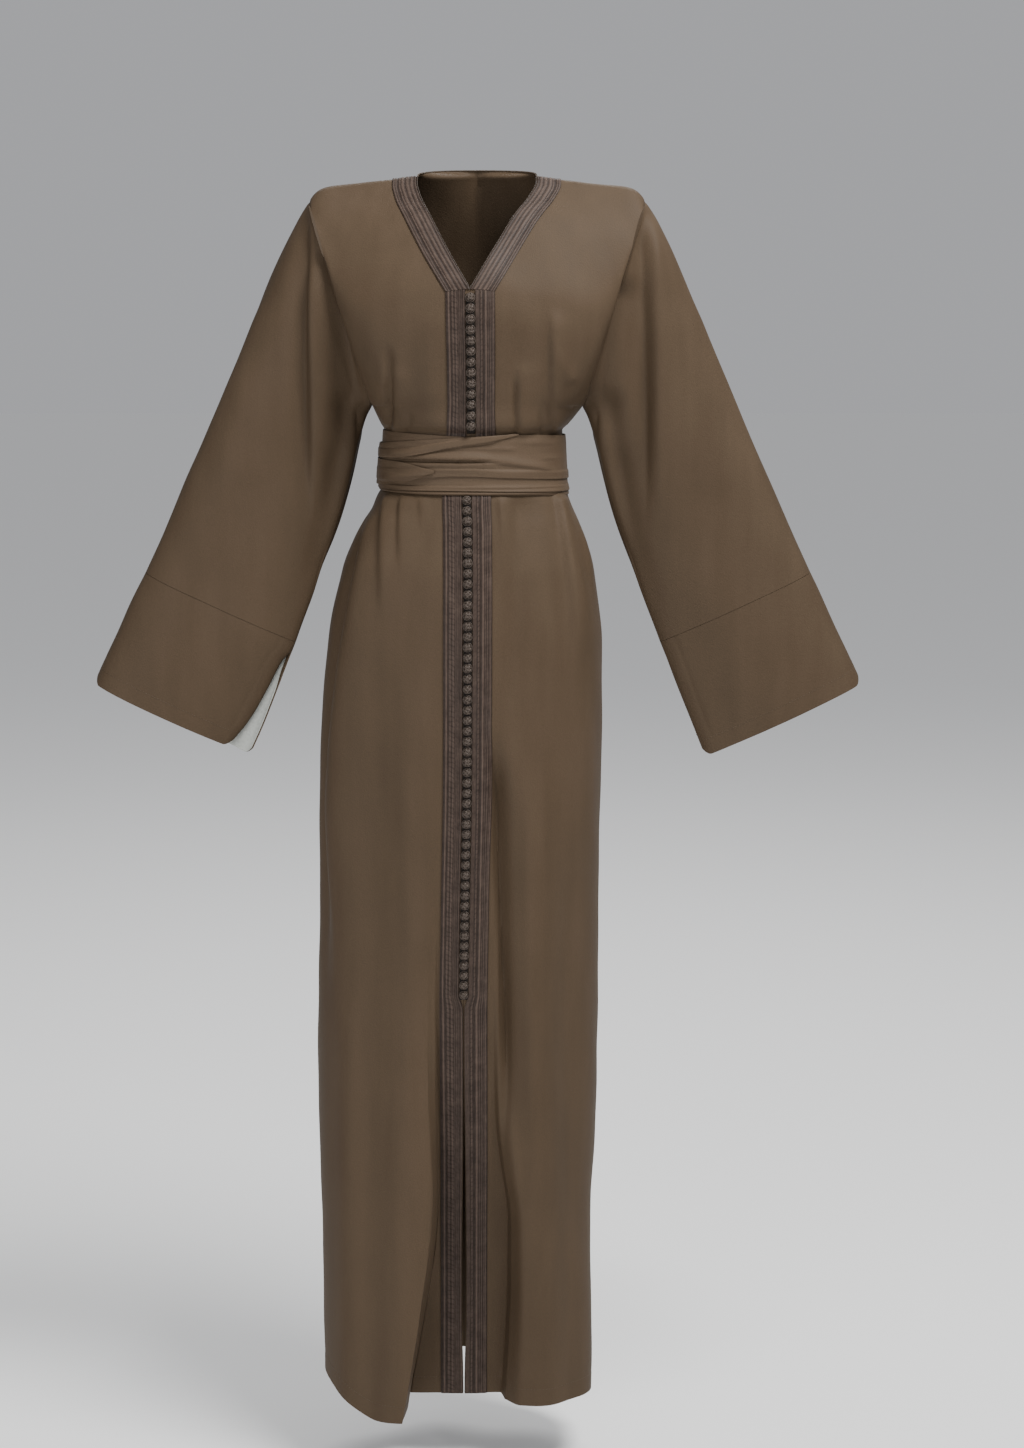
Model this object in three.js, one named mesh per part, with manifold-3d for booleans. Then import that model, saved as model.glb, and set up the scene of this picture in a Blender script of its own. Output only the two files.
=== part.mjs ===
// A long belted kaftan as it hangs when worn: two front panels, a back, wide sleeves with deep
// cuffs, bands of braid, a row of knotted buttons and a wound sash. Every piece of cloth is a thin
// wall and the inside is empty. Millimetres, +Z up, the front faces -Y. Left and right are the
// wearer's, so right is -X. The origin lies midway between the neck ends of the shoulders.
import * as THREE from 'three';
import { mergeVertices } from 'three/addons/utils/BufferGeometryUtils.js';
import Module from 'manifold-3d';

const wasm = await Module();
wasm.setup();
const { clamp, degToRad, smoothstep } = THREE.MathUtils;
const vec = (x, y, z) => new THREE.Vector3(x, y, z);
const mix = (a, b, t) => a * (1 - t) + b * t;

// ---------------------------------------------------------------- driving sizes

const CLOTH = 1.5; // wall of the dress cloth
const SASH_CLOTH = 1.2; // wall of one turn of the sash
const BRAID = 1.0; // wall of a band of braid
const FACING = 1.0; // wall of the facing inside a cuff
const GAP = 0.3; // between neighbouring pieces
const EASE = 0.9; // room between the dress, with its braid, and the first turn of the sash
const PULL = 0.2; // how far each edge draws back from a seam

const SHOULDER_TIP = { x: 191, y: -4, z: -34 };
const UNDERARM = { x: 121, y: 0, z: -264 };
const ARMHOLE_DEPTH = { front: 60, back: 56 };
const NECK_SIDE = { x: 68.4, y: -10, z: -6 }; // neck end of the shoulder seam
const BACK_NECK = { y: 52, z: 4 }; // middle of the back neck edge
// Behind its seam the shoulder lies forward of the round of the back and higher, most at its ridge.
const SHOULDER = { forward: 58, rise: 12, ridge: 9 };

const YOKE_ROWS = 9; // rows of the cloth from shoulder seam to underarm
const V_ROW = 5; // the yoke row that passes the point of the neck
const FRONT_ROUND = 2.35; // 2 is an ellipse, more is boxier
const BACK_ROUND = 2.2;

const BRAID_COLUMNS = [0, 5.5, 16, 27.5]; // mm from the front edge: edge, knots, middle, braid's edge
const FRONT_COLUMNS = 12; // after the braid: foot, wall and crest of the front pleat, then the side
const BACK_NECK_COLUMNS = 4; // half of the back neck
const SIDE_START = 6; // the column from which the front runs in even steps to the side seam

const KNOT = { pitch: 11.8, radius: 4.4, height: 3.4, sides: 6, strip: 5.2, stripWall: 0.8 };
const SIDES = { right: -1, left: 1 };

// ---------------------------------------------------------------- tables

// The neck edge and then the front edges, row by row down to the underarm.
const NECK = [
  { row: 0, right: 68.4, left: 68.4, y: -10, z: -6 },
  { row: 1, right: 68.6, left: 68.0, y: -17, z: -14 },
  { row: 2, right: 64.5, left: 60.5, y: -31, z: -29 },
  { row: 3, right: 53.0, left: 43.0, y: -53, z: -51 },
  { row: 4, right: 33.0, left: 19.5, y: -79, z: -89 },
  { row: 5, right: 6.7, left: -6.7, y: -103, z: -133 },
  { row: 6, right: 6.3, left: -6.3, y: -109, z: -172 },
  { row: 7, right: 5.9, left: -5.9, y: -110, z: -210 },
  { row: 8, right: 5.9, left: -5.9, y: -108, z: -241 },
  { row: 9, right: 6.0, left: -6.0, y: -105, z: -264 },
];

// The middle of the back, row by row down to the underarm, and how far the shoulder's shape still
// shows in that row.
const BACK_YOKE = [
  { row: 0, y: 52, z: 4, shoulder: 1 },
  { row: 1, y: 57, z: -8, shoulder: 0.62 },
  { row: 2, y: 63, z: -30, shoulder: 0.3 },
  { row: 3, y: 71, z: -63, shoulder: 0.12 },
  { row: 4, y: 79, z: -103, shoulder: 0 },
  { row: 5, y: 86, z: -145, shoulder: 0 },
  { row: 6, y: 91, z: -183, shoulder: 0 },
  { row: 7, y: 93, z: -216, shoulder: 0 },
  { row: 8, y: 93, z: -244, shoulder: 0 },
  { row: 9, y: 92, z: -264, shoulder: 0 },
];

// Level sections below the underarm, by the distance down from the shoulders: the side seams, the
// front edges, the depth of each front panel, of the floor between the front pleats and of the back.
const SECTIONS = [
  { down: 264, right: 121, left: 123, side: 0, edge: -6.0, rightFront: 105, leftFront: 105, floor: 105, back: 92 },
  { down: 282, right: 111, left: 104, side: 0, edge: -6.1, rightFront: 97, leftFront: 97, floor: 97, back: 84 },
  { down: 290, right: 107, left: 97.5, side: 0, edge: -6.3, rightFront: 90, leftFront: 90, floor: 90, back: 78 },
  { down: 330, right: 108, left: 98, side: 0, edge: -9.0, rightFront: 90, leftFront: 90, floor: 90, back: 78 },
  { down: 368, right: 109.5, left: 99.5, side: 0, edge: -11.0, rightFront: 91, leftFront: 91, floor: 91, back: 79 },
  { down: 375, right: 122, left: 106, side: 0, edge: -11.0, rightFront: 97, leftFront: 97, floor: 97, back: 84 },
  { down: 397, right: 137, left: 114, side: -1, edge: -10.2, rightFront: 105, leftFront: 105, floor: 105, back: 91 },
  { down: 453, right: 158, left: 132, side: -3, edge: -9.8, rightFront: 115, leftFront: 115, floor: 115, back: 102 },
  { down: 538, right: 174, left: 144, side: -5, edge: -10.1, rightFront: 122, leftFront: 122, floor: 122, back: 109 },
  { down: 680, right: 184, left: 143.5, side: -7, edge: -11.0, rightFront: 124, leftFront: 124, floor: 124, back: 110 },
  { down: 824, right: 186.5, left: 142, side: -8, edge: -13.8, rightFront: 122, leftFront: 122, floor: 121, back: 108 },
  { down: 970, right: 189, left: 141, side: -10, edge: -16.0, rightFront: 124, leftFront: 117, floor: 110, back: 106 },
  { down: 1118, right: 189.5, left: 138.5, side: -12, edge: -16.2, rightFront: 130, leftFront: 110, floor: 87, back: 105 },
  { down: 1238, right: 187, left: 134, side: -14, edge: -17.0, rightFront: 137, leftFront: 102, floor: 63, back: 105 },
  { down: 1344, right: 186, left: 134.5, side: -17, edge: -17.5, rightFront: 143, leftFront: 95, floor: 48, back: 106 },
  { down: 1445, right: 185, left: 135, side: -20, edge: -18.0, rightFront: 148, leftFront: 88, floor: 40, back: 107 },
];
const LOWER_ROWS = [264, 274, 282, 290, 330, 368, 375, 392, 420, 460, 515, 590, 680, 780, 880, 970,
  1060, 1150, 1240, 1330, 1400, 1445];

// Where the pleat beside the braid has its foot and its crest, in mm from the front edge.
const PLEATS = [
  { down: 0, rightFoot: 40, rightCrest: 62, leftFoot: 40, leftCrest: 62 },
  { down: 264, rightFoot: 38, rightCrest: 58, leftFoot: 38, leftCrest: 58 },
  { down: 450, rightFoot: 36, rightCrest: 54, leftFoot: 36, leftCrest: 56 },
  { down: 800, rightFoot: 31, rightCrest: 46, leftFoot: 33, leftCrest: 54 },
  { down: 970, rightFoot: 30, rightCrest: 42, leftFoot: 32, leftCrest: 52 },
  { down: 1195, rightFoot: 30, rightCrest: 39, leftFoot: 32, leftCrest: 54 },
  { down: 1325, rightFoot: 45, rightCrest: 54, leftFoot: 33, leftCrest: 58 },
  { down: 1445, rightFoot: 64, rightCrest: 73, leftFoot: 34, leftCrest: 62 },
];
const PLEAT_SHARE = [1, 1, 1, 1, 0.98, 0.52, 0.07]; // share of the floor's depth, column by column

// Sleeve edges seen from the front, from the armhole to the cuff seam, with the depth of the arm
// above and of the empty cloth below.
const SLEEVE = [
  { along: 0.0, topX: 191, topZ: -34, lowX: 121, lowZ: -264, topDepth: 60, lowDepth: 60 },
  { along: 0.06, topX: 204, topZ: -54, lowX: 128, lowZ: -277, topDepth: 57, lowDepth: 50 },
  { along: 0.15, topX: 224, topZ: -94, lowX: 137, lowZ: -305, topDepth: 52, lowDepth: 37 },
  { along: 0.3, topX: 252, topZ: -159, lowX: 149, lowZ: -350, topDepth: 46, lowDepth: 27 },
  { along: 0.5, topX: 289, topZ: -244, lowX: 166, lowZ: -407, topDepth: 42, lowDepth: 21 },
  { along: 0.75, topX: 336, topZ: -350, lowX: 189, lowZ: -474, topDepth: 39, lowDepth: 18 },
  { along: 1.0, topX: 385, topZ: -457, lowX: 213, lowZ: -538, topDepth: 37, lowDepth: 17 },
];
const SLEEVE_ROWS = [0, 0.06, 0.15, 0.28, 0.42, 0.6, 0.8, 1];
const SLEEVE_BACKWARD = { armhole: -4, cuff: -9 }; // the sleeve's middle plane swings forward

// The cuff from its seam to its edge, and how far the front layer stops short of the low corner.
const CUFF = [
  { along: 0.0, topX: 385, topZ: -457, lowX: 213, lowZ: -538, rightShort: 0.0, leftShort: 0 },
  { along: 0.14, topX: 394, topZ: -475, lowX: 221, lowZ: -557, rightShort: 0.0, leftShort: 0 },
  { along: 0.45, topX: 413, topZ: -515, lowX: 238, lowZ: -601, rightShort: 0.045, leftShort: 0 },
  { along: 0.75, topX: 432, topZ: -554, lowX: 254, lowZ: -641, rightShort: 0.095, leftShort: 0 },
  { along: 1.0, topX: 447, topZ: -586, lowX: 267, lowZ: -673, rightShort: 0.14, leftShort: 0 },
];
const CUFF_DEPTH = { top: 36, low: 17 };

// Large soft folds: a ridge, or a trough where the height is negative, along a line on the front
// (face -1) or the back (face 1), from one distance down to another.
const FOLDS = [
  { face: -1, from: 60, fromX: -196, to: 330, toX: -196, width: 20, height: 5 },
  { face: -1, from: 60, fromX: 196, to: 330, toX: 198, width: 20, height: 5 },
  { face: -1, from: 374, fromX: 84, to: 760, toX: 118, width: 26, height: 6 },
  { face: -1, from: 374, fromX: -86, to: 700, toX: -112, width: 26, height: 5 },
  { face: 1, from: 374, fromX: 62, to: 1460, toX: 88, width: 34, height: 11 },
  { face: 1, from: 400, fromX: 14, to: 1460, toX: 20, width: 30, height: -9 },
  { face: 1, from: 374, fromX: -42, to: 1460, toX: -52, width: 34, height: 12 },
  { face: 1, from: 420, fromX: -88, to: 1460, toX: -112, width: 30, height: -8 },
  { face: 1, from: 60, fromX: -196, to: 330, toX: -196, width: 20, height: 5 },
  { face: 1, from: 60, fromX: 196, to: 330, toX: 198, width: 20, height: 5 },
];

// The sash: each turn's upper and lower edge, by the angle round the waist from the middle of the
// front towards the wearer's left, and how many turns lie between it and the dress. A turn with a
// step moves out by one layer between those two heights, over the turn below it.
const SASH = {
  sash_edge: { layer: 0, rows: [
    { turn: -180, top: 354, low: 366 }, { turn: -90, top: 353, low: 359.5 }, { turn: -10, top: 354, low: 361.5 },
    { turn: 20, top: 354, low: 362 }, { turn: 90, top: 356, low: 366 }, { turn: 180, top: 354, low: 366 },
  ] },
  sash_lower: { layer: 0, step: [347.6, 351.6], rows: [
    { turn: -180, top: 338, low: 361 }, { turn: -90, top: 338, low: 357.5 }, { turn: -10, top: 334, low: 357 },
    { turn: 20, top: 336, low: 358 }, { turn: 90, top: 340, low: 361 }, { turn: 180, top: 338, low: 361 },
  ] },
  sash_main: { layer: 1, rows: [
    { turn: -180, top: 296, low: 346 }, { turn: -90, top: 314, low: 346 }, { turn: -45, top: 313, low: 346 },
    { turn: -5, top: 302, low: 340.5 }, { turn: 23, top: 294.5, low: 343 }, { turn: 90, top: 298, low: 347 },
    { turn: 180, top: 296, low: 346 },
  ] },
  sash_upper: { layer: 0, rows: [
    { turn: -126, top: 296, low: 318 }, { turn: -90, top: 292, low: 320 }, { turn: -45, top: 293, low: 316 },
    { turn: -9, top: 296, low: 306 }, { turn: 9, top: 298, low: 301 },
  ] },
  sash_cross: { layer: 2, rows: [
    { turn: -216, top: 295.5, low: 297 }, { turn: -180, top: 300, low: 316 }, { turn: -90, top: 307, low: 322.5 },
    { turn: -45, top: 302.5, low: 320 }, { turn: 0, top: 297, low: 305 }, { turn: 27, top: 293.5, low: 294.7 },
  ] },
  sash_tuck: { layer: 2, rows: [
    { turn: -162, top: 345, low: 347 }, { turn: -90, top: 324, low: 353.5 }, { turn: -45, top: 325.5, low: 350 },
    { turn: -18, top: 334.5, low: 337 },
  ] },
};
const SASH_ANGLE = 9; // degrees between the points along a turn
const SASH_SPREAD = [0, 0.33, 0.67, 1]; // points across a turn

// ---------------------------------------------------------------- curves through the tables

// A smooth curve through one column of a table, with no overshoot between its rows.
function through(rows, key, name) {
  const at = rows.map((row) => row[key]);
  const value = rows.map((row) => row[name]);
  const slope = value.slice(1).map((next, i) => (next - value[i]) / (at[i + 1] - at[i]));
  const tangent = value.map((_, i) => {
    const before = slope[i - 1] ?? slope[i];
    const after = slope[i] ?? slope[i - 1];
    return before * after <= 0 ? 0 : (2 * before * after) / (before + after);
  });
  return (where) => {
    const i = clamp(at.findLastIndex((start) => start <= where), 0, at.length - 2);
    const span = at[i + 1] - at[i];
    const t = clamp((where - at[i]) / span, 0, 1);
    const bend = span * t * (1 - t) * ((1 - t) * (tangent[i] - slope[i]) + t * (slope[i] - tangent[i + 1]));
    return mix(value[i], value[i + 1], t) + bend;
  };
}

const curves = (rows, key) => Object.fromEntries(
  Object.keys(rows[0]).filter((name) => name !== key).map((name) => [name, through(rows, key, name)]));

const neck = curves(NECK, 'row');
const backYoke = curves(BACK_YOKE, 'row');
const section = curves(SECTIONS, 'down');
const pleat = curves(PLEATS, 'down');
const sleeve = curves(SLEEVE, 'along');
const cuff = curves(CUFF, 'along');

// ---------------------------------------------------------------- points of the dress

// Rows of the body: the yoke's rows first, then one for each lower section.
const ROW_COUNT = YOKE_ROWS + LOWER_ROWS.length;
const downAt = (row) => LOWER_ROWS[row - YOKE_ROWS];

// A point of the armhole; turn runs from 0 at the shoulder tip to 1 at the underarm.
function armhole(side, face, turn) {
  const along = (1 - Math.cos(Math.PI * turn)) / 2;
  const depth = (face < 0 ? ARMHOLE_DEPTH.front : ARMHOLE_DEPTH.back) * Math.sin(Math.PI * turn) ** 0.9;
  return vec(
    side * mix(SHOULDER_TIP.x, UNDERARM.x, along),
    mix(SHOULDER_TIP.y, UNDERARM.y, along) + face * depth,
    mix(SHOULDER_TIP.z, UNDERARM.z, along));
}

// Fall of the shoulder from neck (0) to tip (1), slight at first and steep over the tip.
const shoulderFall = (share) => (14 * share ** 0.8 + 22 * share ** 14) / 36;

// The outer edge of a body row: the armhole down to the underarm, then the side seam.
function outerEdge(side, face, row) {
  if (row <= YOKE_ROWS) return armhole(side, face, row / YOKE_ROWS);
  const down = downAt(row);
  return vec(side * section[side < 0 ? 'right' : 'left'](down), section.side(down), -down);
}

// A quarter section between a middle point and an edge point.
function quarter(inner, outer, share, round) {
  const bulge = (1 - Math.min(share, 1) ** round) ** (1 / round);
  return vec(mix(inner.x, outer.x, share), mix(outer.y, inner.y, bulge), mix(inner.z, outer.z, share));
}

// How far across the front, from its edge (0) to the armhole or side seam (1), a column lies.
function frontShare(side, row, column, width) {
  const name = side < 0 ? 'right' : 'left';
  const down = row <= YOKE_ROWS ? (264 * row) / YOKE_ROWS : downAt(row);
  const foot = pleat[`${name}Foot`](down);
  const crest = pleat[`${name}Crest`](down);
  const places = [...BRAID_COLUMNS, foot, mix(foot, crest, 0.25), crest];
  if (column <= SIDE_START) return places[column] / width;
  const start = Math.asin((crest / width) ** (FRONT_ROUND / 2));
  const angle = mix(start, Math.PI / 2, (column - SIDE_START) / (FRONT_COLUMNS - SIDE_START));
  return column === FRONT_COLUMNS ? 1 : Math.sin(angle) ** (2 / FRONT_ROUND);
}

function frontPoint(side, row, column) {
  const name = side < 0 ? 'right' : 'left';
  const outer = outerEdge(side, -1, row);
  if (row > YOKE_ROWS) {
    const down = downAt(row);
    const inner = vec(section.edge(down), -section[`${name}Front`](down), -down);
    const point = quarter(inner, outer, frontShare(side, row, column, Math.abs(outer.x - inner.x)), FRONT_ROUND);
    point.y -= (PLEAT_SHARE[column] ?? 0) * (section.floor(down) + inner.y);
    return point;
  }
  const inner = vec(side * neck[name](row), neck.y(row), neck.z(row));
  const share = frontShare(side, row, column, Math.abs(outer.x - inner.x));
  const point = quarter(inner, outer, share, FRONT_ROUND);
  const early = 1 - smoothstep(row, 0, 4);
  const fall = mix(share ** 1.6, shoulderFall(share), early);
  point.z = mix(inner.z, outer.z, fall);
  if (row === 0) point.y = mix(inner.y, outer.y, share);
  return point;
}

// The back from its middle (column 0) to the wearer's left or right; its first row is the back neck
// and then the shoulder seam, point for point as on the front.
function backPoint(side, row, column) {
  const outer = outerEdge(side, 1, row);
  const top = column < BACK_NECK_COLUMNS
    ? backNeckPoint(side, column / BACK_NECK_COLUMNS)
    : frontPoint(side, 0, column - BACK_NECK_COLUMNS);
  if (row === 0) return top;
  const neckShare = NECK_SIDE.x / SHOULDER_TIP.x;
  const share = column < BACK_NECK_COLUMNS
    ? (neckShare * column) / BACK_NECK_COLUMNS
    : Math.abs(top.x) / SHOULDER_TIP.x;
  if (row > YOKE_ROWS) {
    const down = downAt(row);
    const middle = (section.left(down) - section.right(down)) / 2;
    return quarter(vec(middle, section.back(down), -down), outer, share, BACK_ROUND);
  }
  const inner = vec(0, backYoke.y(row), backYoke.z(row));
  const point = quarter(inner, outer, share, BACK_ROUND);
  const first = quarter(vec(0, BACK_NECK.y, BACK_NECK.z), outerEdge(side, 1, 0), share, BACK_ROUND);
  const arch = Math.sin(Math.PI * share);
  const ridge = SHOULDER.ridge * (1 - share) * smoothstep(share, 0.1, 0.4);
  const shape = vec(top.x - first.x, -SHOULDER.forward * arch ** 0.8, SHOULDER.rise * arch ** 0.6 + ridge);
  return point.addScaledVector(shape, backYoke.shoulder(row));
}

function backNeckPoint(side, share) {
  const angle = (share * Math.PI) / 2;
  return vec(
    side * NECK_SIDE.x * Math.sin(angle) ** 0.85,
    mix(NECK_SIDE.y, BACK_NECK.y, Math.cos(angle) ** 0.9),
    mix(NECK_SIDE.z, BACK_NECK.z, Math.cos(angle) ** 0.5));
}

// A point of a sleeve or cuff: turn runs round from the top (0) to the low fold (1) on either face.
function tubePoint(side, face, turn, edges, depths, middle, short = 0) {
  const along = ((1 - Math.cos(Math.PI * turn)) / 2) * (1 - short);
  const depth = Math.sin(Math.PI * turn) ** 0.9 * mix(depths.top, depths.low, along);
  return vec(
    side * mix(edges.topX, edges.lowX, along),
    middle + face * (depth + short * depths.low * smoothstep(turn, 0.6, 1)),
    mix(edges.topZ, edges.lowZ, along));
}

const edgesAt = (shape, along) => Object.fromEntries(
  ['topX', 'topZ', 'lowX', 'lowZ'].map((name) => [name, shape[name](along)]));

function sleevePoint(side, face, along, turn) {
  if (along === 0) return armhole(side, face, turn);
  const depths = { top: sleeve.topDepth(along), low: sleeve.lowDepth(along) };
  const middle = mix(SLEEVE_BACKWARD.armhole, SLEEVE_BACKWARD.cuff, along);
  return tubePoint(side, face, turn, edgesAt(sleeve, along), depths, middle);
}

function cuffPoint(side, face, along, turn) {
  if (along === 0) return sleevePoint(side, face, 1, turn);
  const short = face < 0 ? cuff[side < 0 ? 'rightShort' : 'leftShort'](along) : 0;
  return tubePoint(side, face, turn, edgesAt(cuff, along), CUFF_DEPTH, SLEEVE_BACKWARD.cuff, short);
}

// ---------------------------------------------------------------- sheets

// A sheet is a grid of points. Rows run down the garment and columns run from the wearer's right
// over the front to the left, so that rows crossed with columns face outwards.
const count = (n) => [...Array(n).keys()];
const grid = (rows, columns, point) => rows.map((row) => columns.map((column) => point(row, column)));
const bodyRows = count(ROW_COUNT);
const frontColumns = count(FRONT_COLUMNS + 1);
const backColumns = count(FRONT_COLUMNS + BACK_NECK_COLUMNS + 1);
const turns = count(YOKE_ROWS + 1).map((i) => i / YOKE_ROWS);
const reversed = (list) => [...list].reverse();

function frontSheet(side) {
  const columns = side < 0 ? reversed(frontColumns) : frontColumns;
  return { points: grid(bodyRows, columns, (row, column) => frontPoint(side, row, column)) };
}

function backSheet() {
  const columns = [...reversed(backColumns).map((c) => [1, c]), ...backColumns.slice(1).map((c) => [-1, c])];
  return { points: grid(bodyRows, columns, (row, [side, column]) => backPoint(side, row, column)) };
}

// The two faces of a tube, in the order in which they pass the front from the wearer's right.
function tubeColumns(side) {
  const front = (side < 0 ? turns : reversed(turns)).map((turn) => [-1, turn]);
  const back = (side < 0 ? reversed(turns) : turns).map((turn) => [1, turn]);
  return side < 0 ? [...front, ...back.slice(1, -1)] : [...front.slice(0, -1), ...back.slice(0, -1)];
}

function sleeveSheet(side) {
  const points = grid(SLEEVE_ROWS, tubeColumns(side), (along, [face, turn]) => sleevePoint(side, face, along, turn));
  return { points, closed: true };
}

// A cuff is open along its low edge, so its columns start and end there.
function cuffSheet(side) {
  const front = reversed(turns).map((turn) => [-1, turn]);
  const back = turns.slice(1).map((turn) => [1, turn]);
  const columns = side < 0 ? reversed([...front, ...back]) : [...front, ...back];
  const rows = CUFF.map((row) => row.along);
  return { points: grid(rows, columns, (along, [face, turn]) => cuffPoint(side, face, along, turn)) };
}

// Outward directions at every point, shared by all sheets that meet there, so that the walls of
// neighbouring panels are mitred at their seam.
function addNormals(sheets) {
  const sums = new Map();
  const key = (p) => [p.x, p.y, p.z].map((v) => Math.round(v * 50)).join();
  for (const { points, closed } of sheets) {
    const columns = points[0].length;
    for (let r = 0; r < points.length - 1; r += 1) {
      for (let c = 0; c < columns - (closed ? 0 : 1); c += 1) {
        const next = (c + 1) % columns;
        const corners = [points[r][c], points[r][next], points[r + 1][c], points[r + 1][next]];
        const down = corners[2].clone().add(corners[3]).sub(corners[0]).sub(corners[1]);
        const across = corners[1].clone().add(corners[3]).sub(corners[0]).sub(corners[2]);
        const outward = down.cross(across);
        for (const corner of corners) {
          if (!sums.has(key(corner))) sums.set(key(corner), vec(0, 0, 0));
          sums.get(key(corner)).add(outward);
        }
      }
    }
  }
  for (const sheet of sheets) {
    sheet.normals = sheet.points.map((row) => row.map((point) => sums.get(key(point)).clone().normalize()));
  }
}

// How far the large folds lift the cloth at a point.
function foldHeight(point, normal) {
  return FOLDS.reduce((sum, fold) => {
    const share = (-point.z - fold.from) / (fold.to - fold.from);
    if (share <= 0 || share >= 1) return sum;
    const toHem = fold.to > 1445;
    const fade = smoothstep(share, 0, 0.2) * (toHem ? 1 : 1 - smoothstep(share, 0.5, 1));
    const facing = smoothstep(normal.y * fold.face, 0.25, 0.8);
    const away = (point.x - mix(fold.fromX, fold.toX, share)) / fold.width;
    return sum + fold.height * fade * facing * Math.exp(-away * away);
  }, 0);
}

function addFolds(sheets) {
  for (const sheet of sheets) {
    sheet.points = sheet.points.map((row, r) => row.map((point, c) => {
      const normal = sheet.normals[r][c];
      return point.clone().addScaledVector(normal, foldHeight(point, normal));
    }));
  }
}

// A grid moved outwards along its normals, with its edges drawn back from the seams.
function moved(sheet, distance, pull = 0) {
  const { points, normals, closed } = sheet;
  const towards = (from, to) => to.clone().sub(from).normalize().multiplyScalar(pull);
  return points.map((row, r) => row.map((point, c) => {
    const out = point.clone().addScaledVector(normals[r][c], distance);
    if (r === 0) out.add(towards(point, points[1][c]));
    if (r === points.length - 1) out.add(towards(point, points[r - 1][c]));
    if (!closed && c === 0) out.add(towards(point, row[1]));
    if (!closed && c === row.length - 1) out.add(towards(point, row[c - 1]));
    return out;
  }));
}

// A closed wall about a sheet: an outer and an inner skin and the rims between them.
function wallGeometry(sheet, thickness, pull = PULL, lift = 0) {
  const skins = [moved(sheet, lift + thickness / 2, pull), moved(sheet, lift - thickness / 2, pull)];
  const rows = sheet.points.length;
  const columns = sheet.points[0].length;
  const at = (skin, r, c) => (skin * rows + r) * columns + (c % columns);
  const index = [];
  const face = (a, b, c, d) => index.push(a, b, c, a, c, d);
  const flat = sheet.points.flat();
  // A rim's diagonal leaves its lower end, so that two pieces that meet at a seam split it alike.
  const rim = (a, b, c, d) => {
    const lowerFirst = flat[a % flat.length].z < flat[b % flat.length].z;
    index.push(...(lowerFirst ? [a, b, c, a, c, d] : [b, c, d, b, d, a]));
  };
  const last = sheet.closed ? columns : columns - 1;
  for (let c = 0; c < last; c += 1) {
    for (let r = 0; r < rows - 1; r += 1) {
      face(at(0, r, c), at(0, r + 1, c), at(0, r + 1, c + 1), at(0, r, c + 1));
      face(at(1, r, c), at(1, r, c + 1), at(1, r + 1, c + 1), at(1, r + 1, c));
    }
    rim(at(0, 0, c), at(0, 0, c + 1), at(1, 0, c + 1), at(1, 0, c));
    rim(at(0, rows - 1, c + 1), at(0, rows - 1, c), at(1, rows - 1, c), at(1, rows - 1, c + 1));
  }
  for (let r = 0; !sheet.closed && r < rows - 1; r += 1) {
    rim(at(0, r + 1, 0), at(0, r, 0), at(1, r, 0), at(1, r + 1, 0));
    rim(at(0, r, columns - 1), at(0, r + 1, columns - 1), at(1, r + 1, columns - 1), at(1, r, columns - 1));
  }
  const geometry = new THREE.BufferGeometry();
  const numbers = skins.flat(2).flatMap((point) => point.toArray());
  geometry.setAttribute('position', new THREE.Float32BufferAttribute(numbers, 3));
  geometry.setIndex(index);
  geometry.computeVertexNormals();
  return geometry;
}

// Part of a sheet's grid, to lay something on.
function patch(sheet, firstRow, lastRow, firstColumn, lastColumn) {
  const cut = (gridOf) => gridOf.slice(firstRow, lastRow + 1).map((row) => row.slice(firstColumn, lastColumn + 1));
  return { points: cut(sheet.points), normals: cut(sheet.normals) };
}

// ---------------------------------------------------------------- sash

// A point of the dress at the waist and its outward direction, by the angle from the front.
function waistPoint(turn, down) {
  const side = Math.sin(degToRad(turn)) < 0 ? -1 : 1;
  const front = Math.cos(degToRad(turn)) >= 0;
  const outer = vec(side * section[side < 0 ? 'right' : 'left'](down), section.side(down), -down);
  const middle = front ? section.edge(down) : (section.left(down) - section.right(down)) / 2;
  const inner = vec(middle, front ? -section.rightFront(down) : section.back(down), -down);
  const round = front ? FRONT_ROUND : BACK_ROUND;
  return quarter(inner, outer, Math.abs(Math.sin(degToRad(turn))) ** (2 / round), round);
}

function sashSheet({ rows, layer, step }) {
  const edge = curves(rows, 'turn');
  const first = rows[0].turn;
  const final = rows.at(-1).turn;
  const closed = final - first === 360;
  const steps = Math.round((final - first) / SASH_ANGLE);
  const angles = count(closed ? steps : steps + 1).map((i) => first + i * SASH_ANGLE);
  const place = (row, turn) => {
    const low = edge.low(turn);
    const down = step && step[row - 1] ? step[row - 1] : mix(edge.top(turn), low, SASH_SPREAD[row]);
    const under = layer + (step && row > 1 ? 1 : 0);
    const distance = CLOTH / 2 + GAP + BRAID + EASE + SASH_CLOTH / 2 + under * (SASH_CLOTH + GAP);
    const ahead = waistPoint(turn + 2, down).sub(waistPoint(turn - 2, down));
    return waistPoint(turn, down).addScaledVector(vec(ahead.y, -ahead.x, 0).normalize(), distance);
  };
  return { points: grid(count(SASH_SPREAD.length), angles, place), closed };
}

// ---------------------------------------------------------------- knots

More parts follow.
